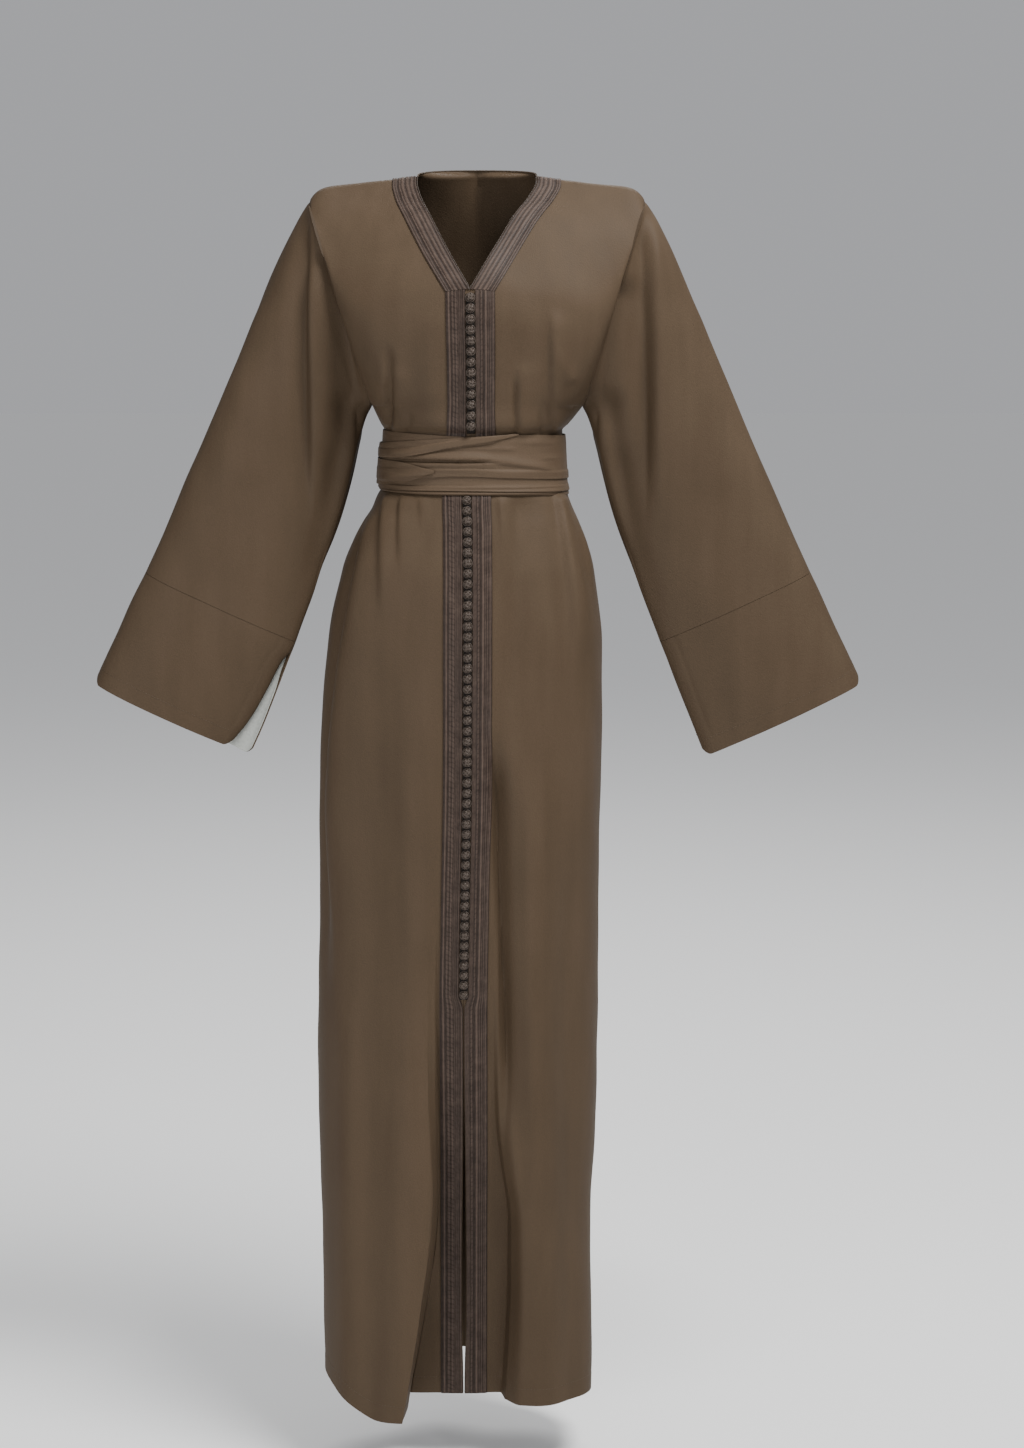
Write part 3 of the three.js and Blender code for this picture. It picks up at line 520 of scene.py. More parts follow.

# %% [markdown]
# ## Creases
# Hanging crepe falls in a few long folds and many faint ones. Each row of a table is one fold,
# given as a line on the front or the back, how wide its two flanks are and how high it stands.
# A narrow flank makes the edge of a lap, a wide one a soft swell, and a negative height a trough.
# Cloth simulation would find folds by itself, but not these folds.

# %% Creases
FOLD_COLUMNS = "x1 down1 x2 down2 bow right_flank left_flank height fade"
BODY_FOLDS = {
    FRONT: table(
        FOLD_COLUMNS,
        # above the sash
        (-98, 192, -103, 330, 0, 5, 6, -5.0, 0.2), (-91, 214, -93, 330, 0, 5, 12, 3.0, 0.2),
        (-77, 268, -78, 320, 0, 2.5, 4, -1.6, 0.4), (44.5, 230, 44.5, 330, 0, 3, 4, -3.2, 0.2),
        (51, 210, 52, 330, 0, 5, 16, 2.4, 0.3), (84, 150, 91, 330, 0, 2.2, 16, 4.6, 0.2),
        (72, 268, 73, 320, 0, 2.5, 4, -1.8, 0.4), (-46, 150, -52, 310, 0, 16, 20, 1.8, 0.4),
        (112, 240, 86, 180, 4, 7, 9, 2.2, 0.5), (-112, 244, -88, 190, -4, 7, 9, 2.2, 0.5),
        # below the sash
        (-82, 336, -86, 462, 0, 3.0, 13, 4.2, 0.5), (-100, 336, -107, 520, 0, 4, 12, 5.0, 0.5),
        (-62, 336, -60, 410, 0, 4, 9, 2.0, 0.5), (82, 330, 111, 570, 7, 3.4, 17, 8.0, 0.5),
        (95, 330, 140, 510, 4, 5, 11, 6.0, 0.5), (54, 336, 30, 640, 0, 15, 17, -4.5, 0.5),
        (24, 336, 32, 430, 0, 4, 10, 2.8, 0.5), (17, 620, 32, 1140, 4, 5, 13, -15.0, 0.35),
        (56, 660, 66, 1300, 0, 7, 30, 4.0, 0.5), (-52, 860, -58, 1190, 0, 20, 9, -5.0, 0.5),
        (118, 430, 132, 900, 0, 18, 14, 3.0, 0.5),
        # the long side fold and the hollow beside it
        (-110, 350, -158, 940, -30, 6, 30, 10.0, 0.4), (-124, 362, -172, 1000, -30, 10, 9, -12.0, 0.4),
        # faint swells of the skirt
        (-66, 470, -84, 1460, 0, 26, 34, 4.0, 0.0), (-118, 640, -132, 1460, 0, 22, 26, -4.4, 0.0),
        (-150, 900, -154, 1460, 0, 14, 20, 4.4, 0.0), (66, 620, 84, 1460, 0, 24, 30, 4.8, 0.0),
        (102, 760, 110, 1460, 0, 16, 20, -4.0, 0.0)),
    BACK: table(
        FOLD_COLUMNS,
        # above the sash
        (66, 120, 48, 330, 0, 10, 22, 6.0, 0.3), (20, 180, 16, 330, 0, 12, 12, -5.0, 0.3),
        (-30, 150, -24, 330, 0, 9, 20, 5.6, 0.3), (-74, 190, -66, 330, 0, 8, 12, -5.4, 0.3),
        (-104, 236, -70, 180, -5, 9, 12, 3.2, 0.5), (106, 238, 74, 170, 5, 9, 12, 3.2, 0.5),
        # the skirt
        (62, 374, 88, 1460, 0, 34, 34, 11, 0.0), (14, 400, 20, 1460, 0, 30, 30, -9, 0.0),
        (-42, 374, -52, 1460, 0, 34, 34, 12, 0.0), (-88, 420, -112, 1460, 0, 30, 30, -8, 0.0),
        (92, 344, 122, 700, 0, 6, 14, 6.5, 0.5), (36, 344, 52, 620, 0, 5, 12, 5.0, 0.5),
        (-16, 344, -22, 560, 0, 6, 9, 4.6, 0.5), (-70, 344, -84, 640, 0, 7, 13, 5.0, 0.5),
        (-102, 344, -140, 760, 0, 8, 14, 6.4, 0.5), (118, 820, 124, 1460, 0, 14, 18, 4.6, 0.0),
        (-146, 780, -152, 1460, 0, 14, 18, 5.0, 0.0))}
SLEEVE_FOLDS = {
    FRONT: table(
        FOLD_COLUMNS,
        # the fold that hangs from the tip of each shoulder
        (-187.5, 92, -189, 420, 0, 3.4, 22, 6.0, 0.45), (-194, 20, -196, 420, 0, 14, 4.5, -6.0, 0.45),
        (190, 26, 194, 430, 0, 24, 6, -11.0, 0.45), (203, 30, 212, 430, 0, 6, 34, 4.0, 0.45),
        # the cloth falls back between the arm and the body
        (-168, 60, -126, 330, 0, 24, 12, -13.0, 0.3), (168, 110, 126, 320, 0, 12, 22, -11.0, 0.3),
        (-150, 240, -170, 430, 0, 16, 16, -6.0, 0.5), (150, 240, 170, 430, 0, 16, 16, -6.0, 0.5),
        # soft folds along the arm and from the underarm
        (-232, 130, -300, 420, -8, 24, 34, 3.0, 0.4), (236, 130, 306, 430, 8, 34, 24, 3.0, 0.4),
        (-136, 262, -176, 452, 6, 9, 12, 3.4, 0.4), (136, 264, 178, 450, -6, 12, 9, 3.4, 0.4),
        (-160, 300, -214, 520, 6, 15, 18, -3.0, 0.4), (158, 300, 212, 520, -6, 18, 15, -3.0, 0.4),
        (-262, 330, -330, 560, 0, 24, 30, -2.0, 0.4), (268, 340, 340, 570, 0, 28, 28, -2.2, 0.4)),
    BACK: table(
        FOLD_COLUMNS,
        (-196, 36, -196, 380, 0, 12, 26, 7.5, 0.4), (196, 36, 198, 390, 0, 24, 12, 7.5, 0.4),
        (-214, 90, -262, 400, 6, 12, 18, -4.6, 0.4), (216, 90, 262, 390, -6, 18, 13, -4.6, 0.4),
        (-170, 110, -128, 300, 0, 18, 14, -7.0, 0.2), (170, 110, 128, 300, 0, 14, 18, -7.0, 0.2),
        (-138, 266, -190, 470, 6, 10, 12, 4.0, 0.4), (138, 266, 188, 480, -6, 12, 10, 4.0, 0.4),
        (-246, 210, -330, 520, -6, 22, 26, 3.6, 0.4), (250, 200, 332, 520, 6, 26, 22, 3.6, 0.4))}
SWELLS = table(  # broad forms: where across, half width, then where they rise, are full, fall and end
    "x width rise full fall end height",
    (-4, 92, 150, 240, 262, 290, -8.5), (60, 34, 158, 216, 250, 286, -2.5))
FOLD_START = 0.16  # the part of its length in which a fold comes up


def fold_height(across, down, fold):
    """How high one fold stands at places given by their distance across and down."""
    start = np.array([fold["x1"], fold["down1"]], float)
    run = np.array([fold["x2"], fold["down2"]]) - start
    length = np.hypot(*run)
    offset = np.stack([across - start[0], down - start[1]], axis=-1)
    along = offset @ run / length ** 2
    aside = (offset[..., 0] * run[1] - offset[..., 1] * run[0]) / length
    inside = np.clip(along, 0, 1)
    aside = aside - fold["bow"] * 4 * inside * (1 - inside)
    flank = np.where(aside < 0, fold["right_flank"], fold["left_flank"])
    ends = smooth(along, 0, FOLD_START)
    if fold["fade"]:
        ends = ends * (1 - smooth(along, 1 - fold["fade"], 1.0))
    return fold["height"] * ends * np.exp(-(aside / flank) ** 2)


WAVES = table(
    "length_x length_y length_z height", (170, 260, 410, 0.6), (96, 140, 260, 0.3), (61, 90, 150, 0.14),
    (210, 120, 88, 0.2), (44, 70, 110, 0.07))
WAVE_SHIFT = 1.7


def unevenness(points):
    """The slight, irregular swell of cloth that has been worn."""
    total = 0
    for i, wave in enumerate(WAVES):
        phase = 2 * np.pi * (
            points[..., 0] / wave["length_x"] + points[..., 1] / wave["length_y"]
            + points[..., 2] / wave["length_z"])
        total = total + wave["height"] * np.sin(phase + WAVE_SHIFT * i)
    return total


def from_edge(sheet, edge):
    """The distance of every point from one edge of its sheet."""
    axis = 0 if edge in ("top", "low") else 1
    run = np.cumsum(np.linalg.norm(np.diff(sheet.points, axis=axis), axis=-1), axis=axis)
    run = np.insert(run, 0, 0, axis=axis)
    return run if edge in ("top", "first") else np.take(run, [-1], axis=axis) - run


def nearest(sheet, edges):
    return np.min([from_edge(sheet, edge) for edge in edges], axis=0)


EDGES = table(
    "name seams hems held",
    ("front_right", ("top", "first"), ("low", "last"), ("first",)),
    ("front_left", ("top", "last"), ("low", "first"), ("last",)),
    ("back", ("top", "first", "last"), ("low",), ("first", "last")),
    ("sleeve_right", ("top",), (), ("top",)), ("sleeve_left", ("top",), (), ("top",)),
    ("cuff_right", (), ("low", "first", "last"), ()), ("cuff_left", (), ("low", "first", "last"), ()))
FAR = 999.0
HELD_WITHIN = 6
SEAM_GROOVE, SEAM_WIDTH = 0.9, 2.4
HEM_UP, HEM_GROOVE, HEM_WIDTH = 21, 0.45, 2.4
SASH_PRESS, PRESSED_FROM, PRESSED_TO = 0.88, (286, 296), (360, 374)  # under the sash the folds lie flat
FACE_FADE = (0.05, 0.5)  # folds of one face fade out where the cloth turns to the side


def facing(sheet, face):
    return smooth(sheet.normals[..., 1] * face, *FACE_FADE)


def crease(sheet, edges):
    """Lifts the cloth along its outward directions; seams, hems and the sash hold it down."""
    far = np.full(sheet.points.shape[:2], FAR)
    sheet.seam = nearest(sheet, edges["seams"]) if edges["seams"] else far
    sheet.hem = nearest(sheet, edges["hems"]) if edges["hems"] else far
    held = smooth(nearest(sheet, edges["held"]), 0, HELD_WITHIN) if edges["held"] else 1
    on_body = edges["name"] in ("front_right", "front_left", "back")
    across, down = sheet.points[..., 0], -sheet.points[..., 2]
    lift = 0
    for face, folds in (BODY_FOLDS if on_body else SLEEVE_FOLDS).items():
        for fold in folds:
            lift = lift + facing(sheet, face) * fold_height(across, down, fold)
    lift = lift * held + unevenness(sheet.points)
    if on_body:
        for swell in SWELLS:
            rise = smooth(down, swell["rise"], swell["full"])
            fall = smooth(down, swell["fall"], swell["end"])
            shape = np.exp(-((across - swell["x"]) / swell["width"]) ** 2)
            lift = lift + swell["height"] * facing(sheet, FRONT) * rise * (1 - fall) * shape
        lift = lift * (1 - SASH_PRESS * smooth(down, *PRESSED_FROM) * (1 - smooth(down, *PRESSED_TO)))
    lift = lift - SEAM_GROOVE * np.exp(-(sheet.seam / SEAM_WIDTH) ** 2)
    lift = lift - HEM_GROOVE * np.exp(-((sheet.hem - HEM_UP) / HEM_WIDTH) ** 2)
    sheet.points = sheet.points + sheet.normals * lift[..., None]


for edges in EDGES:
    crease(cloth[edges["name"]], edges)
add_normals(*cloth.values())
print(sum(len(folds) for part in (BODY_FOLDS, SLEEVE_FOLDS) for folds in part.values()), "folds laid")

# %% [markdown]
# ## From sheets to thin cloth
# A piece of cloth is a closed wall: one skin outside, one inside and a rim along every edge. A
# Solidify modifier would do the same, but here each point already has its outward direction, and
# edges that meet at a seam must draw back by the same small amount.

# %% Walls
def unit(vectors):
    return vectors / np.maximum(np.linalg.norm(vectors, axis=-1, keepdims=True), 1e-9)


def skin(sheet, lift, pull):
    base = sheet.points
    points = base + sheet.normals * lift
    points[0] += unit(base[1] - base[0]) * pull
    points[-1] += unit(base[-2] - base[-1]) * pull
    if not sheet.closed:
        points[:, 0] += unit(base[:, 1] - base[:, 0]) * pull
        points[:, -1] += unit(base[:, -2] - base[:, -1]) * pull
    return points


def wall_faces(outer, inner, closed):
    """Four-cornered faces of a closed wall between two grids of corner numbers."""
    def quads(a, b, c, d):
        return np.stack([a, b, c, d], axis=-1).reshape(-1, 4)
    faces = [
        quads(outer[:-1, :-1], outer[1:, :-1], outer[1:, 1:], outer[:-1, 1:]),
        quads(inner[:-1, :-1], inner[:-1, 1:], inner[1:, 1:], inner[1:, :-1]),
        quads(outer[0, :-1], outer[0, 1:], inner[0, 1:], inner[0, :-1]),
        quads(outer[-1, 1:], outer[-1, :-1], inner[-1, :-1], inner[-1, 1:])]
    if not closed:
        faces.append(quads(outer[1:, 0], outer[:-1, 0], inner[:-1, 0], inner[1:, 0]))
        faces.append(quads(outer[:-1, -1], outer[1:, -1], inner[1:, -1], inner[:-1, -1]))
    return np.concatenate(faces)


SHARP_ANGLE = 50


def new_object(name, vertices, faces):
    mesh = bpy.data.meshes.new(name)
    mesh.from_pydata((np.asarray(vertices) * MM).tolist(), [], faces)
    mesh.shade_smooth()
    return in_scene(name, mesh)


def wall(name, sheet, thickness, pull=PULL, lift=0.0, relief=0.0, marks=None):
    """marks are named values of the cloth, one for each point, for the finishes to read."""
    rows, columns = sheet.points.shape[:2]
    size = rows * columns
    skins = [skin(sheet, lift + thickness / 2 + relief, pull), skin(sheet, lift - thickness / 2, pull)]
    numbers = np.arange(size).reshape(rows, columns)
    if sheet.closed:
        numbers = np.concatenate([numbers, numbers[:, :1]], axis=1)
    faces = wall_faces(numbers, numbers + size, sheet.closed)
    made = new_object(name, np.concatenate([points.reshape(-1, 3) for points in skins]), faces.tolist())
    made.data.set_sharp_from_angle(angle=math.radians(SHARP_ANGLE))
    for mark, values in (marks or {}).items():
        layer = made.data.attributes.new(mark, "FLOAT", "POINT")
        layer.data.foreach_set("value", np.tile(values.astype(np.float32).ravel(), 2))
    return made


def lay_flat(made, sheet, across, along):
    """A UV map in metres, from two grids of lengths in millimetres."""
    flat = np.stack(np.broadcast_arrays(across, along), axis=-1).reshape(-1, 2) * MM
    numbers = np.arange(len(flat)).reshape(np.broadcast(across, along).shape)
    corners = wall_faces(numbers, numbers, sheet.closed)
    layer = made.data.uv_layers.new(name="flat")
    layer.data.foreach_set("uv", flat[corners.ravel()].astype(np.float32).ravel())


# %% [markdown]
# ## Finishes
# Every finish is built from nodes by a small class that lets sums and products be written as plain
# arithmetic. Colour is worked out from the place on the cloth, so no image is needed: soft patches
# and long streaks where the cloth has faded, darker threads along the seams, and a fine crepe grain
# that only bends the light.

# %% Finish tools
def add_node(tree, kind, settings=None, values=None):
    """A node with its settings and with its inputs set or linked; returns its outputs."""
    made = tree.nodes.new(kind)
    for key, value in (settings or {}).items():
        setattr(made, key, value)
    for key, value in (values or {}).items():
        if isinstance(value, bpy.types.NodeSocket):
            tree.links.new(value, made.inputs[key])
        else:
            made.inputs[key].default_value = value
    return made.outputs


class Socket:
    """One output of a node, with arithmetic."""

    def __init__(self, graph, socket):
        self.graph = graph
        self.socket = socket

    def math(self, operation, *values):
        return self.graph.node("ShaderNodeMath", {"operation": operation}, dict(enumerate(values)))

    def __add__(self, other):
        return self.math("ADD", self, other)

    def __radd__(self, other):
        return self.math("ADD", other, self)

    def __sub__(self, other):
        return self.math("SUBTRACT", self, other)

    def __rsub__(self, other):
        return self.math("SUBTRACT", other, self)

    def __mul__(self, other):
        return self.math("MULTIPLY", self, other)

    def __rmul__(self, other):
        return self.math("MULTIPLY", other, self)

    def sine(self):
        return self.math("SINE", self)

    def between(self, low, high):
        """0 at and below low, 1 at and above high, soft between."""
        settings = {"interpolation_type": "SMOOTHSTEP"}
        return self.graph.node("ShaderNodeMapRange", settings, {0: self, 1: low, 2: high})


class Graph:
    """The nodes of one finish."""

    def __init__(self, name, **constants):
        self.material = bpy.data.materials.new(name)
        self.material.use_nodes = True
        self.tree = self.material.node_tree
        self.shader = self.tree.nodes["Principled BSDF"]
        for key, value in constants.items():
            self.input(key).default_value = value

    def input(self, key):
        """An input of the shader, by its name in small letters with underscores."""
        return self.shader.inputs[key.replace("_", " ").title().replace("Ior", "IOR")]

    def node(self, kind, settings=None, values=None, output=0):
        given = {key: getattr(value, "socket", value) for key, value in (values or {}).items()}
        return Socket(self, add_node(self.tree, kind, settings, given)[output])

    def object_place(self):
        return self.node("ShaderNodeTexCoord", output="Object")

    def flat_place(self):
        """The place on the band laid flat: as a whole, across it and along it."""
        flat = self.node("ShaderNodeUVMap", {"uv_map": "flat"})
        return [flat] + [self.node("ShaderNodeSeparateXYZ", None, {0: flat}, axis) for axis in (0, 1)]

    def mark(self, name):
        return self.node("ShaderNodeAttribute", {"attribute_name": name}, output="Fac")

    def stretched(self, place, scale):
        return self.node("ShaderNodeVectorMath", {"operation": "MULTIPLY"}, {0: place, 1: scale})

    def noise(self, place, scale, detail):
        return self.node("ShaderNodeTexNoise", None, {"Vector": place, "Scale": scale, "Detail": detail})

    def blend(self, factor, first, second):
        values = {0: factor, 6: first, 7: second}
        return self.node("ShaderNodeMix", {"data_type": "RGBA"}, values, 2)

    def shade(self, colour, amount):
        """A colour made lighter or darker by a number."""
        return self.node("ShaderNodeVectorMath", {"operation": "SCALE"}, {0: colour, "Scale": amount})

    def bump(self, height, depth, strength):
        return self.node("ShaderNodeBump", None, {"Strength": strength, "Distance": depth, "Height": height})

    def link(self, **sockets):
        for key, value in sockets.items():
            self.tree.links.new(value.socket, self.input(key))
        return self.material


def colour(red, green, blue):
    return (red, green, blue, 1.0)


# %% Finishes of the cloth
PATCHES, GRAIN, FINE_GRAIN = 7.0, 620.0, 240.0  # how many to a metre
SEAM_THREAD, THREAD_DARKER = (0.3, 1.3), 0.3
CLOTH_BUMP = 0.0005


def crepe_finish(name, light, dark, roughness, streak_scale, seams):
    graph = Graph(name, specular_ior_level=0.1)
    place = graph.object_place()
    patches = graph.noise(place, PATCHES, 3.0)
    streaks = graph.noise(graph.stretched(place, streak_scale), 1.0, 3.0)
    grain = graph.noise(place, GRAIN, 2.0)
    worn = 0.5 + 0.5 * (patches - 0.5) + 0.9 * (streaks - 0.5)
    tint = graph.shade(graph.blend(worn.between(0.15, 0.85), dark, light), 0.86 + 0.28 * grain)
    if seams:
        tint = graph.shade(tint, 1 - THREAD_DARKER * (1 - graph.mark("seam").between(*SEAM_THREAD)))
    rough = roughness + 0.12 * (streaks - 0.5) + 0.1 * (grain - 0.5)
    height = grain + 0.4 * graph.noise(place, FINE_GRAIN, 2.0)
    return graph.link(base_color=tint, roughness=rough, normal=graph.bump(height, CLOTH_BUMP, 0.5))


crepe = crepe_finish(
    "crepe", colour(0.067, 0.0456, 0.0282), colour(0.056, 0.0375, 0.0227), 0.62, (42, 42, 5), True)
sash_crepe = crepe_finish(
    "sash crepe", colour(0.080, 0.0552, 0.0355), colour(0.066, 0.0445, 0.0282), 0.6, (9, 9, 150), False)
print("cloth finishes made")

# %% [markdown]
# ## Finish of the braid
# The weave is finer than the ribs, so it is drawn in colour and bump: crests are painted lighter as a
# painted highlight, grooves are painted darker as painted shade, and slanting loops cross the open row.
# The place is read from the band laid flat, so that the threads follow it down the whole front; threads
# modelled one by one would cost too many faces.

# %% Finish of the braid
LOOP_ALONG, LOOP_ACROSS = 0.0058, 0.013  # metres from one slanting loop to the next
LOOP_WANDER = 9.0  # how far wear pushes the loops out of line


def braid_finish():
    """Crests are painted lighter, a painted highlight, grooves darker, painted shade, and threads run along
    the band.
    """
    graph = Graph("braid", specular_ior_level=0.12)
    flat, across, along = graph.flat_place()
    # the rib mark is painted light: a painted highlight on the crests and painted shade in the grooves
    crest = graph.mark("rib")
    wear = graph.noise(graph.object_place(), 80.0, 3.0)
    threads = graph.noise(graph.stretched(flat, (1500, 70, 1)), 1.0, 2.0)
    loops = (along * (math.tau / LOOP_ALONG) + across * (math.tau / LOOP_ACROSS) + LOOP_WANDER * wear).sine()
    eyelets = graph.mark("lace") * loops.between(0.1, 0.9)
    dark, light = colour(0.016, 0.0102, 0.0078), colour(0.100, 0.070, 0.0545)
    tone = crest * 0.8 + 0.5 * (threads - 0.5) + 0.4 * (wear - 0.5) + 0.02 * loops - 0.16 * eyelets
    tint = graph.blend(tone.between(-0.1, 1.0), dark, light)
    rough = 0.52 + 0.2 * (wear - 0.5)
    height = 0.6 * threads + 0.12 * loops + 0.5 * wear - 0.4 * eyelets
    return graph.link(base_color=tint, roughness=rough, normal=graph.bump(height, CLOTH_BUMP, 0.5))


def plain_finish(name, light, dark, roughness, scale, depth):
    graph = Graph(name, specular_ior_level=0.2)
    fibres = graph.noise(graph.object_place(), scale, 3.0)
    tint = graph.blend(fibres, dark, light)
    rough = roughness + 0.15 * (fibres - 0.5)
    return graph.link(base_color=tint, roughness=rough, normal=graph.bump(fibres, depth, 0.6))


braid = braid_finish()
cord = plain_finish("cord", colour(0.085, 0.066, 0.053), colour(0.030, 0.021, 0.016), 0.45, 900, 0.0004)
# near-black painted shade for the strip under the knots, standing in for the shade between them
strip_painted_shade = plain_finish("strip_painted_shade", colour(0.010, 0.007, 0.005), colour(0.006, 0.004, 0.003), 0.8, 900, 0.0002)
lining = plain_finish("facing", colour(0.44, 0.45, 0.42), colour(0.26, 0.27, 0.25), 0.7, 300, 0.0003)
thread = plain_finish("thread", colour(0.10, 0.075, 0.05), colour(0.06, 0.042, 0.028), 0.5, 900, 0.0002)
print("finishes:", [material.name for material in (crepe, sash_crepe, braid, cord, lining, thread)])

# %% [markdown]
# ## The panels
# The seven panels are built from their sheets. Each carries a mark, the distance to its nearest seam,
# for the darker threads there. Thin walls are made straight from the grids, because every later piece
# is laid on them; a solid block carved to the same form would have no inside to look into.

# %% Panels
def finished(made, material, slot, *nodes):
    """Gives a piece its finish and its place in the frame."""
    if not made.data.materials:
        made.data.materials.append(material)
    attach(made, BODY)
    if nodes:
        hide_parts(*nodes)
    return made


pieces = {}
for name, sheet in cloth.items():
    made = wall(name + "_cloth", sheet, CLOTH, marks={"seam": sheet.seam})
    pieces[name] = finished(made, crepe, "crepe", name)
print({name: len(piece.data.polygons) for name, piece in pieces.items()})

# %% [markdown]
# ## Braid
# Each band is laid on its front panel: its points are the panel's own, taken at even steps across
# and along and moved out, so that it follows every fold. The ribs are modelled, because they are as
# deep as the band is thick; the strands that cross them are left to the finish.

# %% Ribs
# the light column is how light each rib's crest is painted: a painted highlight
RIB_COLUMNS = "at width height light"
RIBS = {
    "braid_front_left": table(
        RIB_COLUMNS, (6.4, 0.7, 0.35, 0.5), (8.4, 2.6, 0.2, 0.42), (12.2, 1.0, 0.55, 0.62),
        (17.1, 1.25, 0.7, 0.76), (19.8, 0.6, 0.35, 0.55), (22.0, 0.7, 0.4, 0.6), (24.1, 0.6, 0.35, 0.55),
        (25.7, 0.7, 0.55, 0.7)),
    "braid_front_right": table(
        RIB_COLUMNS, (7.0, 0.8, 0.5, 0.62), (9.6, 1.0, 0.2, 0.4), (11.6, 0.8, 0.3, 0.5),
        (13.6, 0.9, 0.2, 0.42), (16.0, 1.5, 0.45, 0.62), (19.6, 1.5, 0.45, 0.6), (24.0, 1.1, 0.6, 0.72)),
    "braid_neck_left": table(
        RIB_COLUMNS, (1.2, 1.1, 0.5, 0.4), (5.2, 1.8, 0.4, 0.66), (10.0, 1.9, 0.4, 0.66),
        (15.4, 2.0, 0.5, 0.68), (19.0, 0.9, 0.5, 0.76), (23.2, 0.9, 0.35, 0.6), (25.8, 0.8, 0.45, 0.7)),
    "braid_neck_right": table(
        RIB_COLUMNS, (1.2, 1.1, 0.5, 0.4), (5.2, 1.8, 0.4, 0.62), (10.0, 1.9, 0.4, 0.62),
        (15.4, 2.0, 0.5, 0.7), (19.0, 0.9, 0.5, 0.74), (23.2, 0.9, 0.35, 0.55), (25.8, 0.8, 0.45, 0.65)),
}
LACE = {  # where a band is worked open, as (middle, half width)
    "braid_front_left": (12.2, 1.6), "braid_front_right": (17.8, 3.6),
    "braid_neck_left": (19.0, 1.2), "braid_neck_right": (19.0, 1.2)}
BAND_STEP, STRAND_STEP = 2.8, 0.6
PAINTED_SHADE_BETWEEN_RIBS = 0.12  # how light the band is painted between its ribs: painted shade in the grooves
RIB_RELIEF = 0.8


def rib_values(name, across):
    height, light = np.zeros_like(across), np.full_like(across, PAINTED_SHADE_BETWEEN_RIBS)
    for rib in RIBS[name]:
        shape = np.exp(-((across - rib["at"]) / rib["width"]) ** 2)
        height += rib["height"] * shape
        # each crest gets a painted highlight; between the ribs the band keeps its painted shade
        light = np.maximum(light, rib["light"] * shape)
    middle, half = LACE[name]
    return height, light, (np.abs(across - middle) < half).astype(float)


SLIT_MARGIN = 0.7  # below the strip of knots the bands reach this close to the edge
STRIP_ENDS = (936, 950)


def band_sheet(side, first_row, last_row, near, far):
    """A band on a front panel, between two rows and two distances from its edge."""
    front = cloth["front_" + WORD[side]]
    order = slice(None, None, -1) if side == RIGHT else slice(None)
    rows = slice(first_row, last_row + 1)
    width = np.searchsorted(front_columns, len(BRAID_PLACES) - 1) + 1
    points, normals = front.points[rows, order][:, :width], front.normals[rows, order][:, :width]
    places = np.interp(front_columns[:width], range(len(BRAID_PLACES)), BRAID_PLACES)
    across = steps((near, far, round((far - near) / STRAND_STEP)))
    along = np.insert(np.cumsum(np.linalg.norm(np.diff(points[:, -1], axis=0), axis=-1)), 0, 0)
    even = steps((0, along[-1], round(along[-1] / BAND_STEP)))

    share = (far - across) / (far - near)
    starts = mix(near, min(near, SLIT_MARGIN), smooth(-points[:, 0, 2], *STRIP_ENDS))

    def resample(values):
        wide = np.stack([
            read_off(far - (far - start) * share, places, row) for start, row in zip(starts, values)])
        return np.stack([read_off(even, along, wide[:, c]) for c in range(len(across))], axis=1)
    band = Sheet(resample(points)[:, order])
    band.normals = unit(resample(normals)[:, order])
    band.across, band.along = across[order], even
    return band


V_POINT = V_ROW * YOKE_STEPS
LAST_ROW = len(cloth["front_left"].points) - 1
bands = {}
for side in (RIGHT, LEFT):
    for part, rows, near in (("neck", (0, V_POINT), 0.0), ("front", (V_POINT, LAST_ROW), BRAID_PLACES[1])):
        name = f"braid_{part}_{WORD[side]}"
        band = bands[name] = band_sheet(side, *rows, near, BRAID_PLACES[-1])
        height, light, lace = rib_values(name, band.across)
        full = np.ones((len(band.along), 1))
        # the rib mark carries the painted highlight of the crests and the painted shade between them
        made = wall(
            name + "_band", band, BRAID, lift=(CLOTH + BRAID) / 2 + GAP,
            relief=(full * height)[..., None] * RIB_RELIEF, marks={"rib": full * light, "lace": full * lace})
        lay_flat(made, band, band.across[None], band.along[:, None])
        pieces[name] = finished(made, braid, "braid", name)
        print(name, band.points.shape)

# %% [markdown]
# ## The sash
# The sash is one long strip wound round the waist. Each turn is laid on whatever already lies below
# it: a height map over the waist (angle round, distance down) keeps the top of what is laid, and the
# next turn rests on the highest point within its reach. That gives the small steps where one edge
# crosses another. Soft pleats that run along the strip are added on top.

# %% Turns of the sash
SASH = {
    "sash_edge": table(
        "turn top low", (-180, 354, 366), (-90, 353, 359.5), (-10, 354, 361.5), (20, 354, 362),
        (90, 356, 366), (180, 354, 366)),
    "sash_lower": table(
        "turn top low", (-180, 338, 361), (-90, 338, 357.5), (-10, 334, 357), (20, 336, 358), (90, 340, 361),
        (180, 338, 361)),
    "sash_upper": table(
        "turn top low", (-126, 296, 318), (-90, 292, 320), (-45, 293, 316), (-9, 296, 306), (9, 298, 301)),
    "sash_main": table(
        "turn top low", (-180, 296, 346), (-90, 314, 346), (-45, 313, 346), (-5, 302, 340.5),
        (23, 294.5, 343), (90, 298, 347), (180, 296, 346)),
    "sash_cross": table(
        "turn top low", (-216, 295.5, 297), (-180, 300, 316), (-90, 307, 322.5), (-45, 302.5, 320),
        (0, 297, 305), (27, 293.5, 294.7)),
    "sash_tuck": table(
        "turn top low", (-162, 345, 347), (-90, 324, 353.5), (-45, 325.5, 350), (-18, 334.5, 337)),
}
